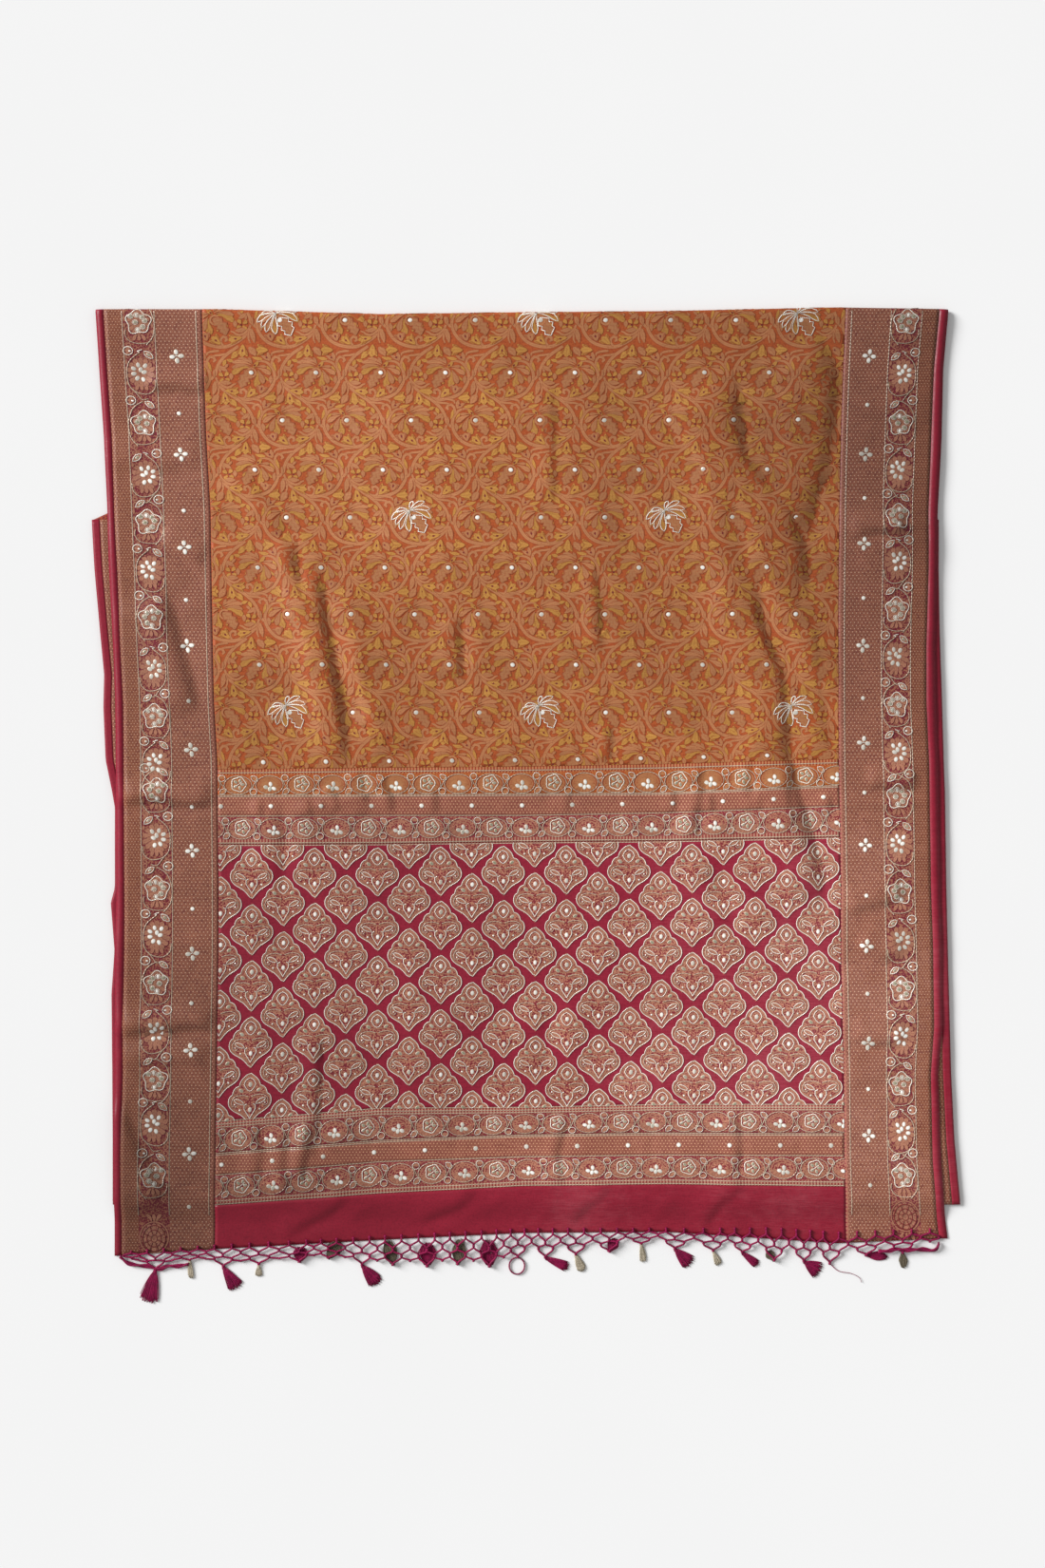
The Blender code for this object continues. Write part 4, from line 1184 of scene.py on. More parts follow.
@dataclass(frozen=True)
class Woven:
    """A figure woven into the silk: its thread, its outline and its spots."""

    name: str
    thread: str
    outline: str
    edge_start: float = 0.62

    def build(self) -> Finish:
        """Its material."""
        m = Recipe(self.name)
        edges = m.use(Group.EDGES, Map=m.map("figure"), Start=self.edge_start)
        tint = m.vector("SCALE", colour(self.thread)[:3], m.rise(m.tone(), 0.0, 1.0, 0.82, 1.18))
        speck = m.rise(m.noise(m.place, 520.0, 1.0), 0.6, 0.7)
        for mask, share in ((speck, 0.45), (edges["Vein"], 0.35), (edges["Edge"], 0.95)):
            tint = m.blend(m.math("MULTIPLY", mask, share), tint, colour(self.outline))
        height = m.use(Group.WEAVE, Place=m.place)["Height"]
        return m.finish(Base_Color=m.lustre(tint), Normal=m.bump(height, 0.6, 0.0003), Roughness=0.52,
                        Specular_IOR_Level=0.25)


@dataclass(frozen=True)
class SilverThread:
    """Couched silver thread, tarnished between its stitches."""

    name: str = "silver_thread"
    bright: str = "F4EEE2"
    tarnish: str = "8E7660"
    pitch: float = 2.2

    def build(self) -> Finish:
        """Its material."""
        m = Recipe(self.name)
        figure = m.map("figure")
        twist, edges = m.use(Group.TWIST, Map=figure, Pitch=self.pitch), m.use(Group.EDGES, Map=figure, Start=0.45)
        worn = m.rise(m.noise(m.place, 45.0, 2.0), 0.4, 0.8, 0.0, 0.5)
        dark = m.math("MAXIMUM", twist["Gap"], m.math("MULTIPLY", edges["Edge"], 0.75))
        tint = m.blend(dark, m.blend(worn, colour(self.bright), colour("BEAE94")), colour(self.tarnish))
        return m.finish(Base_Color=m.lustre(tint, 1.2), Normal=m.bump(twist["Height"], 0.7, 0.0004),
                        Roughness=m.rise(twist["Gap"], 0.0, 1.0, 0.3, 0.55), Metallic=0.1)


@dataclass(frozen=True)
class Mirror:
    """Small mirrors and sequins whose glass has a painted reflection: near white on some, as if they caught the light,
    grey-green on others, which is tarnish and a darker painted reflection.
    """

    name: str = "mirror_glass"

    def build(self) -> Finish:
        """Its material."""
        m = Recipe(self.name)
        across, along, _ = m.split(m.map("figure"))
        # The glass's colour is a painted reflection: near white where the copy's tone is high, grey-green where it is
        # low, the grey-green being tarnish as well
        glass = m.blend(m.rise(m.tone(), 0.35, 0.65), colour("8E8C72"), colour("F6F4EE"))
        cloud = m.rise(m.noise(m.place, 24.0, 2.0), 0.44, 0.58, 0.0, 0.62)
        rim = m.rise(m.reach(m.math("SUBTRACT", across, 0.5), m.math("SUBTRACT", along, 0.5)), 0.34, 0.40)
        glass = m.blend(rim, m.blend(cloud, glass, colour("A8A090")), colour("C9BFAE"))
        return m.finish(Base_Color=m.lustre(glass), Roughness=m.rise(rim, 0.0, 1.0, 0.22, 0.42), Metallic=0.25)


@dataclass(frozen=True)
class Yarn:
    """The thread of the net and the tassels."""

    name: str
    thread: str
    deep: str
    roughness: float = 0.6

    def build(self) -> Finish:
        """Its material."""
        m = Recipe(self.name)
        fine, broad = m.noise(m.place, 900.0, 1.0), m.noise(m.place, 60.0, 2.0)
        both = m.math("ADD", m.math("MULTIPLY", fine, 0.6), m.math("MULTIPLY", broad, 0.4))
        tint = m.blend(m.rise(both, 0.35, 0.68), colour(self.deep), colour(self.thread))
        return m.finish(Base_Color=tint, Normal=m.bump(fine, 0.6, 0.0003), Roughness=self.roughness,
                        Sheen_Weight=0.08, Sheen_Tint=colour(self.thread), Specular_IOR_Level=0.18)


class Finishes:
    """Every finish of the saree."""

    def __init__(self) -> None:
        """Builds them all."""
        dotted, speckled, striped = Pattern.DOTTED, Pattern.SPECKLED, Pattern.STRIPES
        self.field = Silk("field_silk", "A24F26", "924020").build()
        self.ochre = Silk("ochre_band_silk", "A54C24", "90401E", "AE703C", speckled).build()
        self.ochre_dashes = Silk("ochre_dashes", "8E3A24", "7A2F20", "A8704A", striped, (4.2, 4.2)).build()
        self.satin = Silk("maroon_satin", "85182C", "7A1428", roughness=0.4, sheen=0.05, shine=0.25,
                          depth=0.55).build()
        self.brocade = Silk("rose_brown_brocade", "8A5642", "6C3A32", "B28870", dotted).build()
        self.narrow = Silk("narrow_dotted_brocade", "84503A", "68342A", "B0846A", dotted, (4.2, 3.6), 0.85).build()
        self.vine_ground = Silk("vine_ground", "6E202D", "5E1A26", "905C46", speckled, grain=480.0,
                                cover=0.47).build()
        self.teeth = Silk("zigzag_edge", "82503F", "6C3A32", "8C5746", Pattern.TEETH, (5.4, 5.4)).build()
        self.dotted_band = Silk("dotted_band_brocade", "8E5644", "7A3E36", "C09070", dotted, (4.6, 3.8), 0.95).build()
        self.floral = Silk("floral_band_ground", "7A2632", "681C28", "93604B", speckled, grain=480.0,
                           cover=0.48).build()
        self.floral_dashes = Silk("floral_dashes", "84302F", "742628", "A47662", striped, (4.2, 4.2)).build()
        self.pallu = Silk("pallu_silk", "861C30", "7A162A").build()
        self.hidden = Silk("hidden_silk", "7E2A30", "64202A", "A8542C", speckled).build()
        self.figures = [
            Woven("tan_scroll", "A46D46", "8C4022", 0.5).build(),
            Woven("gold_scroll", "AE7B3A", "8A461E", 0.5).build(),
            Woven("rose_scroll", "9E6C54", "6A1E2C", 0.7).build(),
            SilverThread().build(),
            Mirror().build(),
            Woven("wine_scroll", "762824", "5E1C1E").build(),
            Silk("mottled_brocade", "7A2A30", "6A1E28", "AE765E", speckled, grain=480.0, cover=0.475).build(),
            SilverThread("dull_silver_thread", "C3AE97", "735040", 4.6).build(),
        ]
        self.fringe = Yarn("fringe_silk", "98164C", "681036").build()
        self.grey = Yarn("fringe_grey", "746A58", "463E34").build()
        self.pale = Yarn("fringe_pale", "C9BDA8", "958A76").build()


def thicken(piece: Thing, wall: float) -> None:
    """Gives a laid surface its thickness, below the face that shows."""
    solid = piece.modifiers.new("thickness", "SOLIDIFY")
    solid.thickness = wall * MM
    solid.offset = -1.0
    apply_all(piece)


def lengths(points: Array) -> Point:
    """The middle width and length of a grid of points, along its surface."""
    across = np.linalg.norm(np.diff(points, axis=1), axis=2).sum(axis=1)
    along = np.linalg.norm(np.diff(points, axis=0), axis=2).sum(axis=0)
    return max(float(np.mean(across)), 0.0105), float(np.mean(along))


@dataclass
class ClothPiece:
    """One sewn or woven part of the laid cloth, cut out of the map."""

    name: str
    node: str
    slot: str
    columns: tuple[str, str]
    rows: tuple[str, str]
    materials: list[Finish]
    by_column: dict[str, int] = field(default_factory=dict)
    by_row: dict[str, int] = field(default_factory=dict)

    def build(self, cloth: ClothMap) -> tuple[Thing, Point]:
        """Builds it.

        Args:
            cloth: the map.

        Returns:
            The piece, and its flat width and length in metres.
        """
        names = [row[0] for row in STATIONS]
        c0, c1 = (cloth.column_starts[names.index(n)] for n in self.columns)
        down = [row[0] for row in CROSSINGS]
        r0, r1 = (cloth.row_starts[down.index(n)] for n in self.rows)
        if self.rows[0] == "fold":
            r0 = 0
        points = cloth.points[r0:r1 + 1, c0:c1 + 1] * MM
        rows, columns = points.shape[0] - 1, points.shape[1] - 1
        slots = np.zeros((rows, columns), int)
        for name, number in self.by_column.items():
            slots[:, cloth.column_starts[names.index(name)] - c0:] = number
        for name, number in self.by_row.items():
            slots[cloth.row_starts[down.index(name)] - r0:] = number
        mesh = mesh_of(self.name, points.reshape(-1, 3), grid_faces(rows, columns), slots.ravel())
        add_map(mesh, "cloth", self._own_map(cloth, r0, r1, c0, c1))
        made = place_object(self.name, mesh, self.materials)
        thicken(made, SHELL)
        return settle(made, self.slot, (self.node,)), lengths(points)

    def _own_map(self, cloth: ClothMap, r0: int, r1: int, c0: int, c1: int) -> Array:
        """Across from its own outer edge and along, in metres."""
        x, y = cloth.plan_x[r0:r1 + 1, c0:c1 + 1], cloth.plan_y[r0:r1 + 1, c0:c1 + 1].copy()
        left, right = x[:, :1], x[:, -1:]
        share = (x - left) / (right - left)
        wide = {"left_satin": BORDER_WIDE, "right_seam": BORDER_WIDE, "left_seam": FIELD_WIDE}.get(
            self.columns[0], SATIN_WIDTH)
        if self.columns[0] in ("right_seam", "right_satin"):
            share = 1 - share
        if r0 == 0:
            y[:NOSE_CELLS] += (NOSE_CELLS - np.arange(NOSE_CELLS))[:, None] * NOSE_ROUND / NOSE_CELLS
        return np.column_stack(((share * wide * MM).ravel(), (y * MM).ravel()))


@dataclass
class UnderStrip:
    """The part of the folded stretch below that shows past one side of the laid cloth."""

    side: str
    rows: int = 150
    high: float = 384.5
    low: float = -537.0

    def build(self, finishes: Finishes) -> list[tuple[Thing, Point]]:
        """Builds its satin edge and its border, each with its flat size."""
        way = 1 if self.side == "left" else -1
        y = np.linspace(self.high, self.low, self.rows + 1)[:, None]
        outer = under(self.side, y)
        seam = outer + way * SATIN_WIDTH
        inner = edge(self.side + "_edge", y) + way * STRIP_LAP
        done = []
        for part, first, last, cells, materials, slot in (
                ("satin", outer, seam, 4, [finishes.satin], "satin"),
                ("border", seam, inner, 6, [finishes.narrow], "border_brocade")):
            x = mix(first, last, np.linspace(0, 1, cells + 1)[None, :])
            wide = np.broadcast_to(y, x.shape)
            z = stack_height(x, wide) - WALL - LAYER_GAP + 0.12 * np.sin(wide / 11.0) - 0.12
            past = np.clip(1 - np.abs(x - outer) / 3.0, 0, 1)
            z = np.maximum(z - 0.6 * past ** 2, 0.9)
            points = np.stack((x, wide, z), axis=-1) * MM
            faces = grid_faces(self.rows, cells)
            mesh = mesh_of("under", points.reshape(-1, 3), faces if way > 0 else faces[:, ::-1])
            add_map(mesh, "cloth", np.column_stack(((np.abs(x - outer) * MM).ravel(), (wide * MM).ravel())))
            name = "under_" + self.side + "_" + part
            made = place_object(name + "_cloth", mesh, materials)
            thicken(made, SHELL)
            done.append((settle(made, slot, (name,)), lengths(points)))
        return done


@dataclass
class HiddenLayers:
    """The layers folded under, as one rounded body whose sides show each layer's fold."""

    layers: int = 4
    bulge: float = 0.55
    steps: int = 16
    cells: int = 24
    foot: float = 0.25

    def build(self, finishes: Finishes) -> Thing:
        """Builds the body."""
        y = np.concatenate((np.linspace(653.0, 394.0, 14), np.linspace(384.0, -536.0, 60)))
        wide = y < 386
        left = np.where(wide, under("left", y) + 1.2, edge("left_edge", y) + 2.2)
        right = np.where(wide, under("right", y) - 1.2, edge("right_edge", y) - 2.2)
        cells = self.cells
        share = (1 - np.cos(np.linspace(0, math.pi, cells + 1))) / 2
        x = mix(left[:, None], right[:, None], share[None])
        grid_y = np.broadcast_to(y[:, None], x.shape).copy()
        grid_y[:3] += (line("fold", x[:3]) - line("fold", 0.0)) * np.array((1, 0.7, 0.3))[:, None]
        inside = np.minimum(x - edge("left_edge", grid_y), edge("right_edge", grid_y) - x)
        clear = np.where(wide[:, None] & (inside < STRIP_LAP + 3), 3.9, 2.1)
        top = np.maximum(stack_height(x, grid_y) - clear, 1.3)
        rows = len(y) - 1
        rim = [(0, c) for c in range(cells)] + [(r, cells) for r in range(rows)]
        rim += [(rows, c) for c in range(cells, 0, -1)] + [(r, 0) for r in range(rows, 0, -1)]
        before = np.array(rim) @ (cells + 1, 1)
        ring = np.stack((x.ravel()[before], grid_y.ravel()[before]), axis=1)
        high = top.ravel()[before]
        out = left_of(flow_of(ring, True))
        points = [np.column_stack((x.ravel(), grid_y.ravel(), top.ravel()))]
        faces = [grid_faces(rows, cells)]
        total, count = x.size, len(rim)
        for step in range(1, self.steps + 1):
            down = step / self.steps
            swell = self.bulge * (abs(math.sin(math.pi * self.layers * down)) - 0.35)
            points.append(np.column_stack((ring + out * swell, high * (1 - down) + self.foot * down)))
            now = total + np.arange(count)
            faces.append(np.stack((np.roll(before, -1), before, now, np.roll(now, -1)), axis=1))
            before, total = now, total + count
        points.append(np.array(((ring[:, 0].mean(), 0.0, self.foot),)))
        faces.append(np.stack((before, np.full(count, total), np.roll(before, -1), np.full(count, -1)), axis=1))
        mesh = mesh_of("hidden_layers_body", np.concatenate(points) * MM, np.concatenate(faces))
        add_map(mesh, "cloth", np.concatenate(points)[:, :2] * MM)
        made = place_object("hidden_layers_body", mesh, [finishes.hidden])
        with editing(made):
            bpy.ops.mesh.normals_make_consistent(inside=False)
        return settle(made, "hidden_silk", ("hidden_layers",))


LOTUS_HEART = (-12.4, 10.4)
LOTUS = (
    ((-9, 13), (-4, 21.6), 3.6, 0.3, 0), ((-9, 13), (9.8, 20), 5.4, 2, 0), ((-8, 11.3), (18.2, 14.8), 5.8, 2.6, 0),
    ((-6, 9.6), (18.4, 7.4), 5, 3, 0), ((-14.5, 9.6), (-27.8, 9.2), 3.6, -0.5, 0),
    ((-15.5, 8), (-33, -1.5), 6.6, -1.2, 0),
    ((-16, 5), (-22.5, -13.8), 7.4, -1.2, 0), ((-24.4, -2.8), (-29.6, -9.8), 2.8, 0, 1),
    ((-15, 3), (-11.5, -17.6), 8.4, -2.4, 1), ((-5, 8), (17.2, -1.6), 8.8, 4.4, 1),
    ((10.8, 5.4), (18.8, 1.8), 2.4, 0.3, 1),
    ((-17.2, -9.4), (-17.6, -14.8), 3.4, 0, 1), ((-5.2, -9.4), (-3.2, -14), 3, 0, 1),
    ((4.6, -1.6), (9.6, -7.8), 3, 0, 1),
)
LOTUS_LIP = ((-9.5, 3.5), (6.8, -19.4), 18.0, 3.4)
SILVER_PETALS = ((-8.0, 23.4, 4.8, 0.6), (7.6, 22.8, 5.6, 2.2), (14.8, 12.4, 6.4, 3.0), (16.0, 0.2, 7.4, 4.4),
                 (-31.0, 9.0, 5.2, -2.6), (-37.0, -1.4, 6.8, -3.6), (-31.5, -8.6, 6.2, -3.2), (-25.5, -14.8, 6.6, -2.6),
                 (-13.2, -17.6, 8.0, -1.6))
FIELD_STEMS = (
    (((-14.2, 15.6), (-20, 17.2), (-26.5, 15.9), (-32.4, 11.2), (-36.6, 4.2), (-38, -4), (-36.4, -12), (-32.4, -19.4),
      (-27, -25.6), (-20, -30.2), (-11, -33.2), (-1.5, -34.6), (8, -34)), (2.8, 4.6, 5, 5.2, 5.4, 5.6, 6)),
    (((8, -34), (14.5, -31.4), (20.5, -28.2), (26.4, -24.6), (31.4, -20.6), (35.4, -15), (38.2, -8.6), (39.6, -5)),
     (5.8, 5.4, 5.2, 5, 4.6, 3.4)),
    (((9, 36.6), (14, 33), (19.5, 29.4), (24.4, 25.6), (28.8, 21.6), (32.6, 17), (36, 11.6), (38.6, 5.4), (39.8, -1),
      (42.6, -4.2), (46, -8)), (4.4, 5.2, 5.4, 5.2, 5, 4.6, 4)),
    (((-35, 9), (-34.4, 14), (-35.6, 19), (-39, 22.4), (-43.4, 21.8), (-45.4, 18), (-43, 15.4)),
     (2.6, 4, 4.4, 4.6, 4.6, 5, 3)),
    (((3, -33), (-0.2, -28.8), (0, -24), (3.4, -20.8), (7.2, -22), (7.6, -25.8), (5, -27)),
     (3.6, 4, 4.2, 4.6, 5, 4.6, 2.6)),
    (((38.6, -8.6), (34.6, -13.2), (30, -17), (25, -18.8), (20.4, -17.6), (17, -14.8), (13.2, -13.4)),
     (2.6, 3.8, 4.2, 4, 3.6, 3.2, 2)),
    (((38.8, -10), (36.9, -17), (36.4, -24), (38.4, -29.4)), (3, 3.2, 3.4, 2)),
    (((26.4, 26.2), (32.6, 24.8), (38.4, 24.4), (43.4, 23.2)), (3.2, 3.6, 3.4, 2)),
    (((-51, 30.4), (-44.4, 30), (-38.5, 28.8), (-35, 27), (-34.6, 23.8)), (3.2, 3.8, 3.6, 3.4, 2)),
)
FIELD_LEAVES = (
    ((-22.8, 19.4), (-8.6, 22.4), 4.4, -0.8, 1), ((-29.4, 28.8), (-31.2, 16.2), 5, -0.6, 0),
    ((-30.6, 17.4), (-20.6, 24.6), 4.4, 0.6, 0), ((-36.8, 15.8), (-40.4, 2.6), 3.6, 0.6, 1),
    ((-27.8, 10.8), (-33.8, 1.6), 3.6, 0.3, 1), ((8.6, 29.6), (18.4, 19.8), 7.2, 0.6, 1),
    ((15.6, 16.2), (24.8, 18.8), 4.4, 0, 1), ((25.6, 18.6), (29.2, 9.8), 4.8, 0.4, 1),
    ((34.6, 10.6), (23.6, 3.2), 5.4, 0.6, 0), ((34.8, 8), (32.8, 0.2), 3, 0, 0),
    ((19.8, 0.8), (19.6, -8.6), 5.2, -0.4, 0),
    ((33.4, -10.6), (18.6, -12.6), 6, 0.8, 0), ((-33.6, -2.4), (-32.2, -13.8), 4.8, 0.4, 0),
    ((40.6, -9.6), (44.4, -29.4), 6.4, -0.8, 0), ((-4.8, 35.6), (-13.9, 23.4), 8.4, -0.6, 0),
    ((-43.6, 6), (-43.2, -6), 2.8, 0, 0), ((22.4, 12.6), (27.6, 7.4), 3.4, 0.4, 0),
)
FIELD_SPRIGS = (
    ((2.4, 39), (4.6, 21.6), 13.4, 1), ((-30, 31.2), (-14, 32.2), 13.4, 1), ((-0.8, -31.4), (-12, -20.6), 13, 1),
    ((28, -22.2), (9.2, -25.4), 11.6, 1), ((-18.6, -26.6), (-21.6, -15.6), 13.6, 0),
)
FIELD_ROWS_A = (652.0, 517.8, 387.0, 256.6, 124.8)
FIELD_ROWS_B = (581.8, 451.2, 319.4, 188.8, 60.8)
FIELD_FOOT = 52.0
FIELD_PITCH = 0.1013
SILVER_LOTUSES = {652.0: (0, 4, 8), 387.0: (2, 6), 124.8: (0, 4, 8)}


@dataclass
class Field:
    """The woven scroll and lotus of the field, some lotuses edged with silver."""

    thread: Slot = Slot.TAN
    bright: Slot = Slot.GOLD

    def unit(self) -> Arrays:
        """One ring of scroll with its lotus, its leaves and its sprigs."""
        f = Figure()
        slots = (self.thread, self.bright)
        for places, widths in FIELD_STEMS:
            f.ribbon(smooth_line(places, 4.5), widths, self.thread, 0.72)
        for base, tip, width, bend, bright in FIELD_LEAVES:
            f.petal(base, tip, width * 1.32, bend, Way.LEAF, slots[bright], 0.55)
        for base, tip, width, bright in FIELD_SPRIGS:
            self._sprig(f, base, tip, width * 1.12, slots[bright])
        f.floret(28.5, -4.8, 8.6, 4, 38, self.bright)
        for base, tip in (((25.4, -6.2), (28.2, -4.2)), ((-8.4, 30), (-5.8, 33.2)), ((-28.6, 20), (-27.4, 22.6)),
                          ((-13.8, 12.6), (-11, 9.8))):
            self._eye(f, base, tip)
        f.petal(*LOTUS_LIP[:2], LOTUS_LIP[2], LOTUS_LIP[3], Way.LOBED, self.thread, 0.35)
        for index, (base, tip, width, bend, bright) in enumerate(LOTUS):
            tone = 0.35 if bright else 0.4 + 0.15 * (index % 3)
            f.petal(base, tip, width * 1.28, bend, Way.PETAL, slots[bright], tone)
        f.ribbon(ellipse(-7.2, 1.3, 6, 6, 12), 3.2, self.thread, 0.6, closed=True)
        f.petal((-17.4, 15.8), (-9.6, 8.2), 6.2, 0.0, Way.LEAF, self.bright, 0.4)
        self._eye(f, (-13.8, 12.6), (-11, 9.8))
        return f.arrays()

    @staticmethod
    def _eye(f: Figure, base, tip) -> None:
        """The dark eye of a sprig."""
        f.petal(base, tip, 2.6, 0, Way.DROP, Slot.WINE, 0.4)

    def _sprig(self, f: Figure, base, tip, width: float, slot: Slot) -> None:
        """A leaf that widens to three points, with a dark eye."""
        base, tip = np.array(base, float), np.array(tip, float)
        out = tip - base
        side = np.array((-out[1], out[0])) / np.linalg.norm(out) * width * 0.5
        for way in (1, -1):
            f.petal(base + out * 0.25, base + out * 0.88 + side * way, width * 0.5, -0.5 * way, Way.LEAF, slot, 0.5)
        f.petal(base, tip, width * 0.96, 0.0, Way.BELL, slot, 0.55)
        self._eye(f, mix(base, tip, 0.34), mix(base, tip, 0.34) + out * 4.2 / np.linalg.norm(out))

    def silver_unit(self) -> Arrays:
        """The silver outlines of an embroidered lotus."""
        f = Figure()
        for x, y, width, bend in SILVER_PETALS:
            f.rim(LOTUS_HEART, (x, y), width, bend)
        f.rim(*LOTUS_LIP, Way.LOBED)
        f.stud(-7.2, 1.3, 7.4, 6.6, 20, 0.9)
        return f.arrays()

    def mirror_unit(self) -> Arrays:
        """The single mirror in the heart of a lotus."""
        f = Figure(lift=0.3)
        f.stud(-7.2, 1.3, 6.8, 6.2, 20, 0.7)
        return f.arrays()

    def dress(self, cloth: ClothMap, finishes: Finishes) -> list[Thing]:
        """Lays the scrolls, the mirrors and the silver on the field."""
        scrolls, work = Layout(3), Layout(4)
        unit, silver, mirror = self.unit(), self.silver_unit(), self.mirror_unit()
        for rows, start, count, way in ((FIELD_ROWS_A, 0.1205, 10, 1), (FIELD_ROWS_B, 0.0737, 11, -1)):
            for row in rows:
                for k in range(-1, count):
                    at = ((start + FIELD_PITCH * k) * FIELD_WIDE + 7.2 * way, row - 1.3 - FIELD_FOOT, way)
                    scrolls.add(unit, *at)
                    if k in SILVER_LOTUSES.get(row, ()):
                        work.add(silver, *at)
                    elif 0 <= k < 9:
                        work.add(mirror, *at)
        place = Stretch(field_stretch, (0.5, 0.5), (FIELD_WIDE - 0.5, 630.0))
        return [place.dress("field_scrolls", scrolls, cloth, finishes.figures, "field_silk"),
                place.dress("field_mirrors_and_silver", work, cloth, finishes.figures, "field_silk")]

def field_stretch(across: Array, along: Array) -> Arrays:
    """The field's places: across from its left seam, along up from its lower end."""
    x = across - FIELD_WIDE / 2
    for _ in range(3):
        y = mix(line("field_end", x), FIELD_FOOT, np.clip(along / 60.0, 0, 1)) + along
        x = mix(edge("left_seam", y), edge("right_seam", y), across / FIELD_WIDE)
    return x, y


BORDER_ROUNDELS = {
    "left": (340, 393, 446, 501, 550, 601, 651, 705, 754, 803, 832, 882, 935, 984, 1034, 1085, 1135, 1182, 1236),
    "right": (340, 395, 446, 496, 544, 592, 642, 692, 742, 792, 838, 888, 938, 990, 1040, 1090, 1140, 1190, 1236),
}
BORDER_FLOWERS = {"left": (376, 479, 577, 680, 789, 895, 1003, 1104, 1213),
                  "right": (376, 479, 573, 680, 782, 889, 995, 1097, 1194)}
BORDER_DOTS = {"left": (436, 538, 632, 738, 849, 956, 1055, 1158, 1269),
               "right": (427, 525, 630, 735, 834, 942, 1045, 1145, 1246)}
ROUNDEL_ACROSS = 43.7
FLOWER_ACROSS = 91.1
SILVER_LINES = (22.9, 64.5, 117.7)
BORDER_RUN = np.array([(0.0, y) for y in np.arange(674.0, -553.0, -5.0)])
BAND_RUN = np.array([(x, 0.0) for x in np.arange(0.0, FIELD_WIDE + 1, 5.0)])


def photo_y(row: float) -> float:
    """The plan's y of a row of the photograph."""
    return (847.5 - row) * 1.28


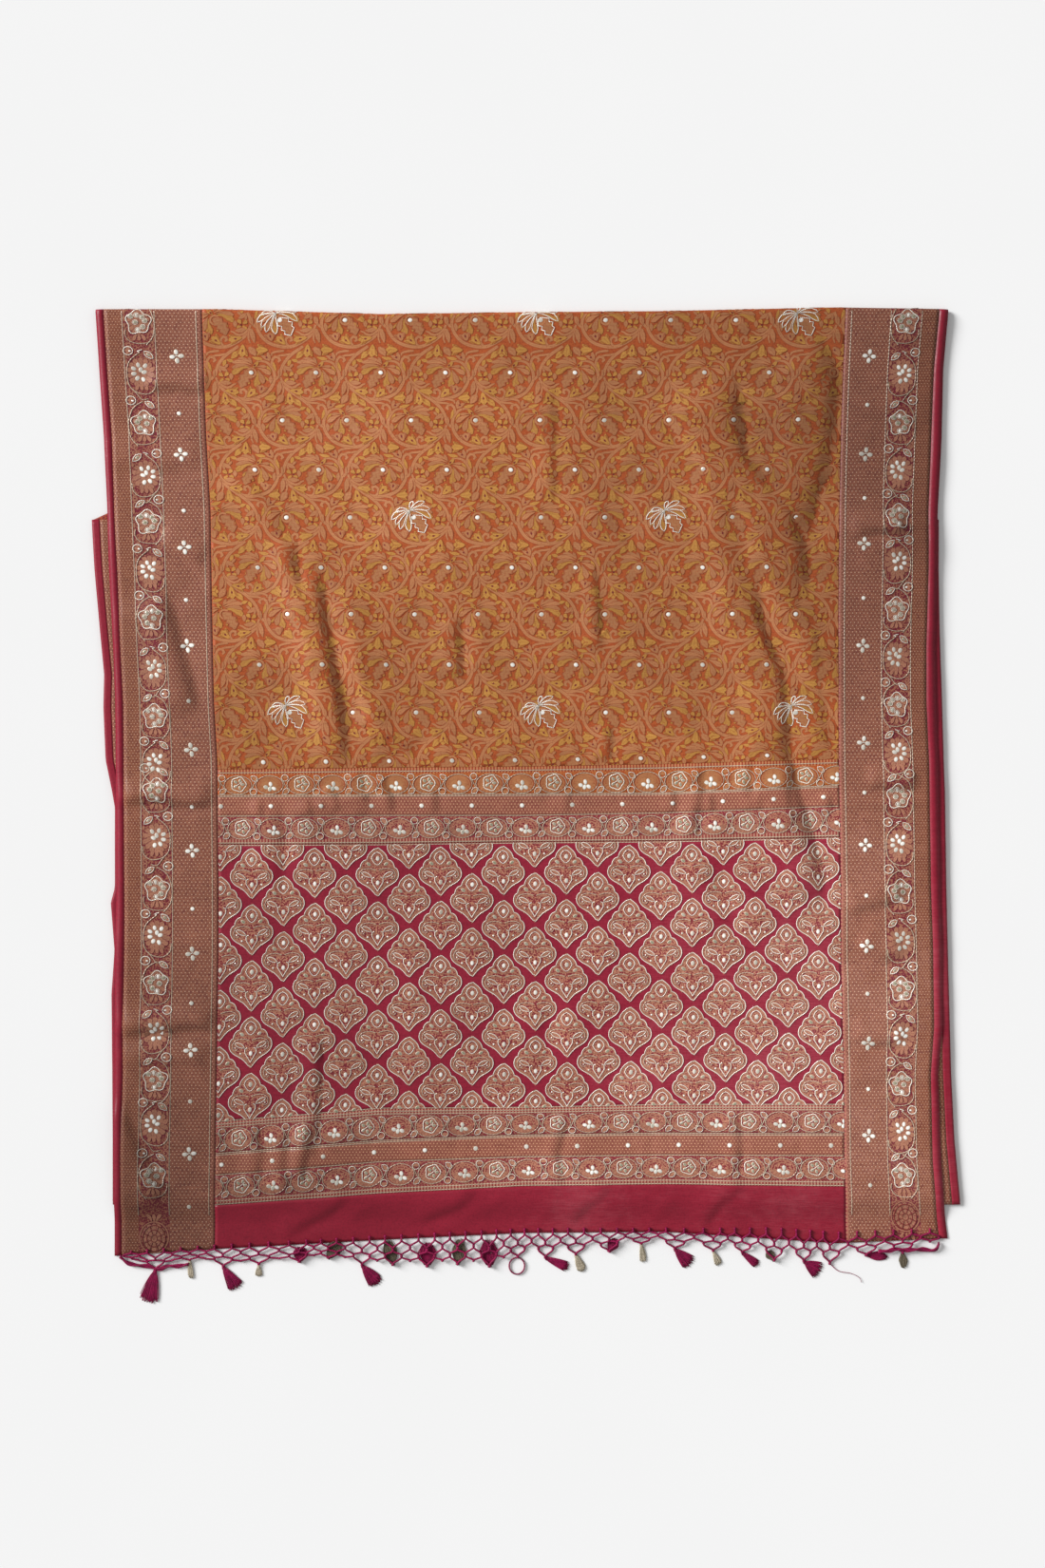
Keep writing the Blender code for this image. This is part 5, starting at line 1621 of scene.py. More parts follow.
@dataclass
class Border:
    """One brocade border with its vine in silver and mirrors."""

    side: str
    seed: int = 11

    def _leaf(self, f: Figure, x: float, y: float, turn: float, size: float) -> None:
        """A leaf with a double silver outline and a mirror."""
        at, out = np.array((x, y), float), facing(turn) * size
        side = left_of(out[None])[0] * 0.26
        f.petal(at, at + out, size * 0.42, 0, Way.LEAF, Slot.ROSE, 0.6)
        f.cord(smooth_line((at, at + out * 0.5 + side, at + out * 1.05, at + out * 0.5 - side), 4, True), 1.2,
               Slot.SILVER, 0.6, True)
        f.stud(*(at + out * 0.5), size * 0.4, size * 0.22, turn, 0.35)

    def _bud(self, f: Figure, x: float, y: float, turn: float, size: float) -> None:
        """A bud: three small petals within a silver round."""
        at = np.array((x, y), float)
        for step in (-48, 0, 48):
            f.petal(at, at + facing(turn + step) * size, size * 0.6, 0, Way.DROP, Slot.ROSE, 0.6)
        f.cord(ellipse(*(at + facing(turn) * size * 0.35), size * 0.95, size * 0.85, 12), 1.2, Slot.SILVER, 0.6, True)
        f.stud(x, y, size * 0.55, size * 0.4, turn, 0.7)

    def _scrollwork(self, f: Figure) -> None:
        """The woven scroll that fills the vine's ground round a roundel."""
        for high in (31, 24, -24, -31):
            for x in (-15, 15):
                f.ribbon(spiral(x, high, 4.6, 90 if x > 0 else -90, 1.0 if high * x > 0 else -1.0), (1.8, 1.6, 2.2),
                         Slot.ROSE, 0.5)
        for x in (-18, 18):
            for y in (-14, -5, 5, 14):
                f.petal((x, y - 3), (x * 0.98, y + 4), 3.6, 0.6, Way.LEAF, Slot.ROSE, 0.5)

    def _disc(self, f: Figure, reach: float) -> None:
        """The woven rose of packed scallops below the mirrors."""
        f.oval(0, -reach * 0.08, reach * 0.92, reach * 1.08, Slot.ROSE)
        for ring, inner, wide, count in ((1.06, 0.62, 0.47, 14), (0.8, 0.4, 0.46, 11), (0.54, 0.12, 0.44, 8)):
            for i in range(count):
                out = facing(i * 360 / count + 90) * (reach, reach * 1.12)
                f.petal(out * inner, out * ring, reach * wide, 0, Way.DROP, Slot.ROSE, 0.4 + 0.2 * (i % 2))

    @staticmethod
    def _spray(f: Figure, foot: float, tip: float, *heights: Point) -> None:
        """Small petals, three side by side between each two heights."""
        for way in (-1, 0, 1):
            for low, high in heights:
                f.petal((way * foot, low), (way * tip, high), 5.4, way, Way.DROP, Slot.ROSE, 0.6)

    def ringed(self) -> Arrays:
        """The roundel within a silver ring, and the joint above it."""
        f = Figure()
        self._scrollwork(f)
        self._disc(f, 17.0)
        f.cord(smooth_line(((-0.3, 27.9), (-14.3, 15.6), (-18.3, 0), (-15.6, -18.2), (-5.1, -27.1), (9, -28.4),
                            (17.9, -20.7), (19.2, -10.5)), 5), 1.3, Slot.DULL, 0.9)
        f.cord(smooth_line(((2.7, 30.7), (-4, 29), (-0.3, 27.9)), 4), 1.2, Slot.SILVER, 0.6)
        f.cord(smooth_line(((-12, -22), (-5, -31), (0, -36.6), (8, -35)), 5), 1.2, Slot.DULL, 0.6)
        for x, y, turn in ((-3, 9.5, 100), (-8.5, 5, 150), (5.5, 8.5, 60), (-8.5, -1.5, 185), (4, 0.5, 20),
                           (-4.5, -7, 235), (2.5, -8.5, 290), (0, 3.6, 80)):
            f.stud(x * 1.08, y * 1.08, 7.4, 5.6, turn, 0.9)
        self._spray(f, 2.0, 7.5, (-15, -24))
        self._bud(f, -13.2, 29.0, 170, 6.6)
        self._leaf(f, 5, 28.5, -38, 14.5)
        return f.arrays()

    def lobed(self) -> Arrays:
        """The roundel with a lobed silver edge, and the arc that carries it."""
        f = Figure()
        self._scrollwork(f)
        self._disc(f, 14.0)
        turn = np.linspace(0, 2 * math.pi, 35, endpoint=False)
        reach = 15.4 + 1.8 * np.cos(5 * turn) + 0.8 * np.sin(3 * turn)
        f.cord(np.stack((reach * np.cos(turn + math.pi / 2), reach * np.sin(turn + math.pi / 2)), axis=1), 1.4,
               Slot.SILVER, 0.7, True)
        # Each mirror's tone sets the painted reflection on its glass, near white when high
        for x, y, turn_of, tone in ((-9.5, 7.5, 140, 0.35), (-2, 9, 95, 0.9), (5, 6.5, 50, 0.35), (8.5, 1.5, 15, 0.3),
                                    (-4, -0.5, 190, 0.35), (5.5, -6.5, 300, 0.35), (-1, -10.5, 260, 0.75)):
            f.cord(ellipse(x, y, 3.6, 3.3, 8), 0.8, Slot.SILVER, 0.5, True)
            f.stud(x, y, 5.8, 4.6, turn_of, tone)
        f.cord(smooth_line(((0, 29), (9, 24), (14.3, 18.9), (20.4, 0.6), (18.3, -19), (11.5, -28), (9, -31)), 5), 1.3,
               Slot.DULL, 0.9)
        f.cord(smooth_line(((-17, -10), (-18, -18), (-12, -26), (0, -29), (11, -28)), 5), 1.1, Slot.DULL, 0.5)
        self._spray(f, 2.0, 7.5, (-16, -25))
        self._bud(f, 13.0, 30, 10, 6.8)
        self._leaf(f, -3.5, 29, 215, 14)
        return f.arrays()

    def plain(self) -> Arrays:
        """The woven roundel below the end of the silver."""
        f = Figure()
        self._disc(f, 16.0)
        f.ribbon(ellipse(0, 0, 19.5, 21, 26), 1.6, Slot.ROSE, 0.6, True)
        for wide, tall, thick in ((15.4, 17.6, 1.5), (9.8, 11.4, 1.5), (4.2, 5.0, 1.3)):
            f.cord(ellipse(0, -1.3, wide, tall, 24), thick, Slot.WINE, 0.4, True)
        for i in range(8):
            reach = facing(45 * i + 22) * (1, 1.14)
            f.cord(np.array((reach * 5.2, reach * 14.6)) + (0, -1.3), 1.2, Slot.WINE, 0.4)
        self._spray(f, 2.8, 9.8, (21, 32), (-22, -33))
        return f.arrays()

    def flower(self) -> Arrays:
        """Four pear mirrors set as a flower in the wide dotted strip."""
        f = Figure(lift=0.2)
        for turn in (96, 186, 276, 366):
            f.stud(*(5.8 * facing(turn)), 7.8, 5.8, turn, 0.8)
        f.cord(smooth_line(((-2, 0), (0, 1), (2, 0)), 2), 1.0, Slot.SILVER, 0.6)
        return f.arrays()

    def dot(self) -> Arrays:
        """A single sequin between two flowers."""
        f = Figure(lift=0.25)
        f.stud(0, 0, 5.8, 5.8, 0, 0.85)
        return f.arrays()

    def dress(self, cloth: ClothMap, finishes: Finishes) -> list[Thing]:
        """Lays the vine, the flowers and the silver lines on the border."""
        layout = Layout(self.seed)
        units = (self.lobed(), self.ringed())
        for index, row in enumerate(BORDER_ROUNDELS[self.side]):
            layout.add(units[index % 2], ROUNDEL_ACROSS, photo_y(row), -1 if index % 4 > 1 else 1)
        layout.add(self.plain(), ROUNDEL_ACROSS, photo_y(1302 if self.side == "left" else 1279))
        for unit, rows in ((self.flower(), BORDER_FLOWERS), (self.dot(), BORDER_DOTS)):
            for row in rows[self.side]:
                layout.add(unit, FLOWER_ACROSS, photo_y(row))
        layout.add(couched(BORDER_RUN, [(across, 0) for across in SILVER_LINES], 0.3), 0.0, 0.0)
        name = self.side + "_border_work"
        return [border_stretch(self.side).dress(name, layout, cloth, finishes.figures, "border_brocade")]


@dataclass
class CrossBand:
    """A cross band: where it lies, its silver lines and the start of its row of figures."""

    name: str
    first: str
    last: str
    slot: str
    height: float
    seed: int
    lines: tuple[float, ...]
    start: float

    def row(self) -> list[tuple[Arrays, float, float]]:
        """Its figures, each with its place across and along."""
        return []

    def dress(self, cloth: ClothMap, finishes: Finishes) -> list[Thing]:
        """Lays its figures and its silver lines on the band."""
        layout = Layout(self.seed)
        for figure in self.row():
            layout.add(*figure)
        layout.add(couched(BAND_RUN, [(0, -down) for down in self.lines], 0.6), 0.0, 0.0)
        place = band_stretch(self.first, self.last, self.height)
        return [place.dress(self.name + "_work", layout, cloth, finishes.figures, self.slot)]


@dataclass
class FloralBand(CrossBand):
    """A cross band with a vine of roses, silver lines and mirrors."""

    vine: Point = (0.0, 0.0)
    thread: Slot = Slot.ROSE
    pitch: float = 85.3
    joint: float = 21.3

    @property
    def high(self) -> float:
        """How high its vine is."""
        return self.vine[1] - self.vine[0]

    def _ring(self, f: Figure) -> None:
        """The ring of silver and the woven arcs within it."""
        f.oval(0, 0, 18.0, self.high * 0.46, Slot.MOTTLED if self.thread is Slot.ROSE else self.thread)
        for reach in (0.84, 0.62):
            f.ribbon(ellipse(0, -self.high * 0.02, 18.5 * reach, self.high * 0.47 * reach, 16), 1.7, self.thread,
                     0.5, True)
        for i in range(9):
            out = facing(200 + i * 17.5) * (1, 0.72)
            f.petal(out * 9, out * 16.5, 4.6, 0, Way.DROP, self.thread, 0.35 + 0.3 * (i % 2))
        f.cord(ellipse(0, 0, 18.8, self.high * 0.47, 20), 1.1, Slot.DULL, 0.55, True)

    def rose(self) -> Arrays:
        """One rose in its silver ring, with a leaf and a bud after it."""
        f = Figure()
        self._ring(f)
        reach = 9.8 + 0.8 * np.cos(5 * np.arange(22) * 2 * math.pi / 22)
        f.ribbon(ellipse(1, 1, 5.5, 5.5, 10), 5, self.thread, 0.55, True)
        f.cord(ellipse(1, 1, reach, reach, 22), 1.3, Slot.SILVER, 0.7, True)
        for turn in range(70, 430, 72):
            f.stud(*(1 + 5.2 * facing(turn)), 5.6, 3.6, turn, 0.3)
        f.cord(smooth_line(((-5, -2), (1, 1), (6, 5)), 4), 0.9, Slot.SILVER, 0.6)
        self._joint(f, 1)
        return f.arrays()

    def cluster(self) -> Arrays:
        """Three mirrors in their ring, with a bud and a leaf after it."""
        f = Figure()
        self._ring(f)
        # Each mirror's tone sets the painted reflection on its glass, near white when high
        for x, y, turn, tone in ((1.5, 1.0, 100, 0.85), (-4.8, -3.0, 165, 0.6), (6.0, -5.0, 330, 0.95),
                                 (0.5, -5.5, 250, 0.6)):
            f.stud(x, y, 7.0, 5.2, turn, tone)
        self._joint(f, -1)
        return f.arrays()

    def _joint(self, f: Figure, way: int) -> None:
        """The bud on one side of the vine and the leaf on the other."""
        x, high = self.joint, way * self.high
        f.cord(smooth_line(((x - 5, -high * 0.36), (x, 0), (x + 5, high * 0.36)), 5), 1.0, Slot.DULL, 0.6)
        at = np.array((x - 0.5, -high * 0.31))
        for step in (-50, 0, 50):
            f.petal(at, at + 5.6 * facing(-90 * way + step), 3.8, 0, Way.DROP, self.thread, 0.6)
        f.cord(ellipse(at[0], at[1] - way, 4.8, 4.4, 10), 0.9, Slot.SILVER, 0.65, True)
        base, tip = np.array((x - 3.5, high * 0.44)), np.array((x + 5.5, high * 0.20))
        f.petal(base, tip, 5.2, 0, Way.LEAF, self.thread, 0.6)
        middle, side = (base + tip) / 2, np.array((2.2, 3.0 * way))
        f.cord(smooth_line((base, middle + side, tip, middle - side), 4, True), 0.9, Slot.SILVER, 0.65, True)

    def row(self) -> list[tuple[Arrays, float, float]]:
        """Roses and clusters in turn."""
        units, middle = (self.rose(), self.cluster()), -sum(self.vine) / 2
        return [(units[k % 2], self.start + k * self.pitch / 2, middle) for k in range(-2, 22)]


@dataclass
class DottedBand(CrossBand):
    """A cross band of small dots with one row of sequins."""

    pitch: float = 68.0

    def row(self) -> list[tuple[Arrays, float, float]]:
        """Single sequins."""
        dot = Figure(lift=0.25)
        dot.stud(0, 0, 6.2, 6.2, 0, 0.8)
        return [(dot.arrays(), self.start + k * self.pitch, -self.height / 2) for k in range(13)]


MEDALLION = (((0, 0), (3.8, 3.0), (8.5, 6.6), (12.8, 11.6), (14.9, 17.3)),
             ((14.9, 17.3), (19.4, 19.0), (22.8, 23.0), (24.2, 28.0)),
             ((24.2, 28.0), (28.0, 30.8), (29.8, 36.7), (29.0, 41.8), (25.8, 46.5), (20.6, 50.3), (13.8, 53.9),
              (8.7, 58.0), (4.4, 62.7), (0, 68.2)))
# The silver on each side of a medallion: its line, width, finish and tone, and whether it closes
THREADS = (
    (((2, 31.5), (7, 29.8), (14.6, 29.4), (21.4, 31.6), (24.6, 37.5), (23.6, 42.4), (19.8, 44.2), (17, 41.6)),
     1.2, Slot.DULL, 0.4, False),
    (((7.5, 41.4), (12, 36), (18.4, 33.8), (21.6, 34.6), (18, 38.8), (12, 41)), 1.1, Slot.SILVER, 0.6, True),
    (((0, 60), (3.6, 54), (7.6, 47.4), (7.4, 42.6), (4.2, 41)), 1.2, Slot.SILVER, 0.6, False),
)


@dataclass
class Pallu:
    """The pallu's staggered medallions of brocade, silver thread and mirrors."""

    length: float = 68.2
    width: float = 0.965
    across_pitch: float = 85.1
    along_pitch: float = 72.9
    first: Point = (44.9, -3.4)
    height: float = 356.5

    @staticmethod
    def side() -> Array:
        """One side of the medallion: half width and distance down."""
        side = np.concatenate([smooth_line(part, 2.6)[:-1 if part[-1][0] else None] for part in MEDALLION])
        return side * (Pallu.width, 1.0)

    def half(self, down: float) -> float:
        """Half the medallion's width at a distance below its tip."""
        side = self.side()
        return float(np.interp(down, side[:, 1], side[:, 0]))

    def outline(self, inside: float) -> Array:
        """The medallion's outline, drawn in by a distance."""
        side = self.side() * (1, -1)
        side = side - left_of(flow_of(side)) * inside
        side = side[side[:, 0] >= 0.0]
        return np.concatenate((side, side[::-1][1:-1] * (-1, 1)))

    def fill(self) -> Arrays:
        """The woven ground of a medallion and its small figures."""
        f = Figure(lift=0.3)
        f.plate(self.half, self.length, 24, 10, Slot.MOTTLED)
        f.ribbon(self.outline(1.7), 1.7, Slot.ROSE, 0.6, True)
        for reach in (1.0, 0.55):
            f.ribbon(smooth_line([(x * reach, -16 + (y + 16) * reach) for x, y in
                                  ((0, -5), (7.4, -10), (9.6, -15.5), (6.6, -21.5), (0, -26.8), (-6.6, -21.5),
                                   (-9.6, -15.5), (-7.4, -10))], 5, True), 1.5, Slot.ROSE, 0.6, True)
        for way in (-1, 1):
            for route in (((2, 27), (9, 25.5), (16, 26.5), (24.4, 31), (27, 38), (22.5, 46), (13, 51), (5, 58),
                           (2, 63)),
                          ((3, 33), (10, 32.2), (17, 32.4), (21, 36), (20, 41)), ((14, 55), (20, 46.5), (23, 45)),
                          ((5, 61), (8, 53), (13, 46), (15, 41))):
                f.ribbon(smooth_line([(way * x, -y) for x, y in route], 4), (1.4, 1.9, 1.7, 1.2), Slot.ROSE, 0.5)
            for base, tip, width in (((8, -24), (17, -21), 5.0), ((8, -41), (21, -34), 5.0), ((3, -36), (7, -30), 3.6),
                                     ((3, -42), (6, -48), 3.4), ((17, -40), (24, -37), 4.0),
                                     ((5, -52), (3, -60), 2.6)):
                f.petal((way * base[0], base[1]), (way * tip[0], tip[1]), width, way * 0.9, Way.LEAF, Slot.ROSE, 0.55)
        return f.arrays()

    def work(self) -> Arrays:
        """The silver thread and mirrors of a medallion."""
        f = Figure(lift=0.36)
        f.cord(self.outline(0.1), 1.2, Slot.SILVER, 0.8, True)
        f.cord(smooth_line(((0, -7.2), (5.8, -11), (7.8, -15.5), (5.2, -20.5), (0, -24.7), (-5.2, -20.5), (-7.8, -15.5),
                            (-5.8, -11)), 4, True), 1.2, Slot.SILVER, 0.6, True)
        f.stud(0.6, -16.0, 6.8, 5.2, 80, 0.6)
        f.stud(0.3, -48.6, 6.8, 5.0, 84, 0.62)
        for way in (-1, 1):
            for route, width, slot, tone, closed in THREADS:
                f.cord(smooth_line([(way * x, -y) for x, y in route], 4, closed), width, slot, tone, closed)
            f.stud(way * 11.8, -23.4, 6.4, 4.0, 90 - way * 55, 0.3)
            f.stud(way * 13.4, -48.4, 2.6, 2.6, 0, 0.8)
            f.stud(way * 20.4, -40.6, 2.2, 2.2, 0, 0.7)
        return f.arrays()

    def dress(self, cloth: ClothMap, finishes: Finishes) -> list[Thing]:
        """Lays the medallions over the pallu."""
        fills, works = Layout(21), Layout(22)
        fill, work = self.fill(), self.work()
        for row in range(-1, 11):
            for k in range(-1, 11):
                at = (self.first[0] + (k - 1 + row % 2 / 2) * self.across_pitch,
                      self.first[1] - row * self.along_pitch / 2)
                fills.add(fill, *at)
                works.add(work, *at)
        works.add(couched(BAND_RUN, ((0, -1.0), (0, 1.0 - self.height)), 0.6), 0.0, 0.0)
        place = band_stretch("pallu_start", "pallu_end", self.height)
        return [place.dress("pallu_medallions", fills, cloth, finishes.figures, "pallu_silk"),
                place.dress("pallu_silver_and_mirrors", works, cloth, finishes.figures, "pallu_silk")]


class Lies(Enum):
    """How a loose end of the fringe lies."""

    FREE = "free"
    UNDER = "under"
    RING = "ring"
    THREAD = "thread"


@dataclass(frozen=True)
class Loose:
    """A tassel or another loose end: its knot, its tip, its fan and its yarn."""

    name: str
    knot: Point
    tip: Point
    fan: float
    grey: bool
    lies: Lies


# Each row: name, the knot's x and y, the tip's x and y, the fan, 1 where it is grey, how it lies
FRINGE = tuple(Loose(name, (x, y), (tip_x, tip_y), fan, grey == 1, Lies(lies))
               for name, x, y, tip_x, tip_y, fan, grey, lies in (
    ("tassel_01", -499, -625, -509, -670, 26, 0, "free"), ("tassel_02", -453, -612, -451, -637, 7, 1, "free"),
    ("tassel_03", -408, -621, -389, -650, 23, 0, "free"), ("tassel_04", -360, -618, -360, -634, 9, 1, "free"),
    ("tassel_05", -305, -614, -303, -592, 20, 0, "under"), ("tassel_06", -266, -609, -250, -584, 19, 1, "under"),
    ("tassel_07", -221, -619, -200, -645, 21, 0, "free"), ("tassel_08", -179, -618, -187, -583, 17, 1, "under"),
    ("tassel_09", -133, -620, -133, -586, 24, 0, "under"), ("tassel_10", -92, -617, -88, -581, 17, 1, "under"),
    ("tassel_11", -49, -620, -51, -582, 24, 0, "under"), ("cord_ring", -11, -608, -13.5, -632, 24, 0, "ring"),
    ("tassel_12", 26, -609, 57, -622, 14, 0, "free"), ("tassel_13", 67, -605, 76, -627, 12, 1, "free"),
    ("tassel_14", 112, -600, 123, -582, 15, 0, "under"), ("tassel_15", 155, -590, 158, -615, 9, 1, "free"),
    ("tassel_16", 200, -597, 222, -618, 22, 0, "free"), ("tassel_17", 252, -600, 260, -619, 10, 1, "free"),
    ("tassel_18", 291, -602, 312, -619, 12, 0, "free"), ("tassel_19", 334, -612, 324, -598, 11, 1, "under"),
    ("tassel_20", 374, -614, 396, -628, 24, 0, "free"), ("loose_thread", 409, -617, 452, -642.5, 1, 0, "thread"),
    ("tassel_21", 458, -605, 489, -608, 11, 0, "under"), ("tassel_22", 507, -602, 509, -625, 10, 1, "under"),
))
SLIM_FAN = 10
NET_ENDS = ((-542, -612), (556, -594))
NET_BUNCHES = (((-547, -607), (-533, -617), (-511, -620), (-495, -624), (-480, -620), (-465, -620), (-454, -617)),
               ((474, -600), (487, -599), (499, -597), (518, -598), (532, -597), (545, -599), (553, -596), (556, -589)))
ANCHOR_RISE = ((-560, 200, 330, 560), (5.5, 5.5, 15.0, 14.0))
THREAD_ROUTE = ((409, -617), (421, -627), (437, -630), (449, -636), (452, -642.5))


def tube(points: Array, radius, sides: int = 5, closed: bool = False) -> Arrays:
    """A round thread along a line.

    Args:
        points: the line, in millimetres.
        radius: one radius, or one for each point.
        sides: how many sides it has.
        closed: whether it is a loop.

    Returns:
        Its points and its faces.
    """
    count = len(points)
    ahead = flow_of(points, closed)
    side = np.cross(ahead, (0.0, 0.0, 1.0))
    side[np.linalg.norm(side, axis=1) < 1e-3] = (1.0, 0.0, 0.0)
    side /= np.linalg.norm(side, axis=1, keepdims=True)
    turn = (np.arange(sides) * 2 * math.pi / sides)[None, :, None]
    around = side[:, None] * np.cos(turn) + np.cross(side, ahead)[:, None] * np.sin(turn)
    rings = points[:, None] + np.broadcast_to(radius, (count,))[:, None, None] * around
    here = np.arange(count if closed else count - 1)
    there = (here + 1) % count
    faces = [np.stack((here * sides + k, here * sides + (k + 1) % sides,
                       there * sides + (k + 1) % sides, there * sides + k), axis=1) for k in range(sides)]
    if not closed:
        last, fan = (count - 1) * sides, range(1, sides - 1)
        faces += [np.array([(0, k + 1, k, -1) for k in fan]),
                  np.array([(last, last + k, last + k + 1, -1) for k in fan])]
    return rings.reshape(-1, 3), np.concatenate(faces)


def corded(name: str, node: str, parts: list[Arrays], finish: Finish, slot: str) -> Thing:
    """A finished piece of round threads that stands for one node."""
    points, faces = joined(parts, 1)
    return settle(place_object(name, mesh_of(name, points * MM, faces), [finish]), slot, (node,))


@dataclass
class Net:
    """The knotted net along the hem."""

    cord: float = 1.3
    leg: float = 0.19
    upper: Point = (0.45, 0.53)
    lower: Point = (0.71, 0.79)

    def knots(self) -> list[Point]:
        """The lowest knots: one for each loose end and one between each two."""
        hung = [NET_ENDS[0]] + [row.knot for row in FRINGE] + [NET_ENDS[1]]
        found = []
        for (x0, y0), (x1, y1) in zip(hung, hung[1:]):
            found += [(x0, y0), ((x0 + x1) / 2, (y0 + y1) / 2 + 6.0)]
        return found + [hung[-1]]

    @staticmethod
    def height(x, y) -> Array:
        """How high the net's underside lies."""
        beyond = line("hem", x) - y
        lift = np.maximum(0.15, 1.75 * smooth(22.0, 12.0, beyond))
        for row in FRINGE:
            if row.lies is Lies.UNDER:
                lift = np.maximum(lift, 3.0 * smooth(34.0, 20.0, nearest_on((row.knot, row.tip), x, y)[0]))
        return lift

    def _cord(self, a, b) -> Arrays:
        """One cord of a mesh, that leaves and meets its knots straight down."""
        share = np.linspace(0, 1, 8)
        x, y = mix(a[0], b[0], share * share * (3 - 2 * share)), mix(a[1], b[1], share)
        return tube(np.column_stack((x, y, self.height(x, y) + self.cord)), self.cord, 6)

    def _tie(self, a, b) -> Arrays:
        """Two cords twisted into one knot between two meshes."""
        share = np.linspace(-0.12, 1.12, 7)
        x, y = mix(a[0], b[0], share), mix(a[1], b[1], share)
        swell = np.array((0.75, 1.25, 1.55, 1.3, 1.55, 1.25, 0.75)) * self.cord
        return tube(np.column_stack((x, y, self.height(x, y) + self.cord + 0.15)), swell, 6)

    def build(self, finishes: Finishes) -> Thing:
        """Builds the net."""
        knots = self.knots()
        low_x, low_y = [k[0] for k in knots], [k[1] for k in knots]
        anchors = [(a[0] + b[0]) / 2 for a, b in zip(knots, knots[1:])]

        def point(x: float, share: float) -> Point:
            """The place this share of the way down the net."""
            top = float(line("hem", x)) + float(np.interp(x, *ANCHOR_RISE))
            return x, mix(top, float(np.interp(x, low_x, low_y)), share)

        parts = []
        for index, x in enumerate(anchors):
            parts += [self._cord(point(x, 0.0), point(x, self.leg)), self._tie(point(x, -0.03), point(x, 0.05)),
                      self._tie(point(x, self.leg - 0.02), point(x, self.leg + 0.03)),
                      self._tie(*(point(x, share) for share in self.lower))]
            for side in (index, index + 1):
                parts += [self._cord(point(x, self.leg), point(knots[side][0], self.upper[0])),
                          self._cord(point(knots[side][0], self.upper[1]), point(x, self.lower[0]))]
        for index, (x, _) in enumerate(knots):
            parts.append(self._tie(*(point(x, share) for share in self.upper)))
            if 0 < index < len(anchors) and (index % 2 == 0 or x < -20.0):
                parts += [self._cord(point(anchors[side], self.lower[1]), point(x, 0.98))
                          for side in (index - 1, index)]
                parts.append(self._tie(point(x, 0.96), point(x, 1.03)))
        for route in NET_BUNCHES:
            for offset, phase in ((-1.3, 0.0), (1.3, 2.0), (0.2, 4.0)):
                run = smooth_line(route, 3.0)
                run[:, 1] += offset + 0.8 * np.sin(np.arange(len(run)) * 0.9 + phase)
                high = self.height(run[:, 0], run[:, 1]) + self.cord * (1.9 if offset == 0.2 else 1.0)
                parts.append(tube(np.column_stack((run, high)), self.cord, 6))
        return corded("net_cords", "fringe_net", parts, finishes.fringe, "fringe_silk")


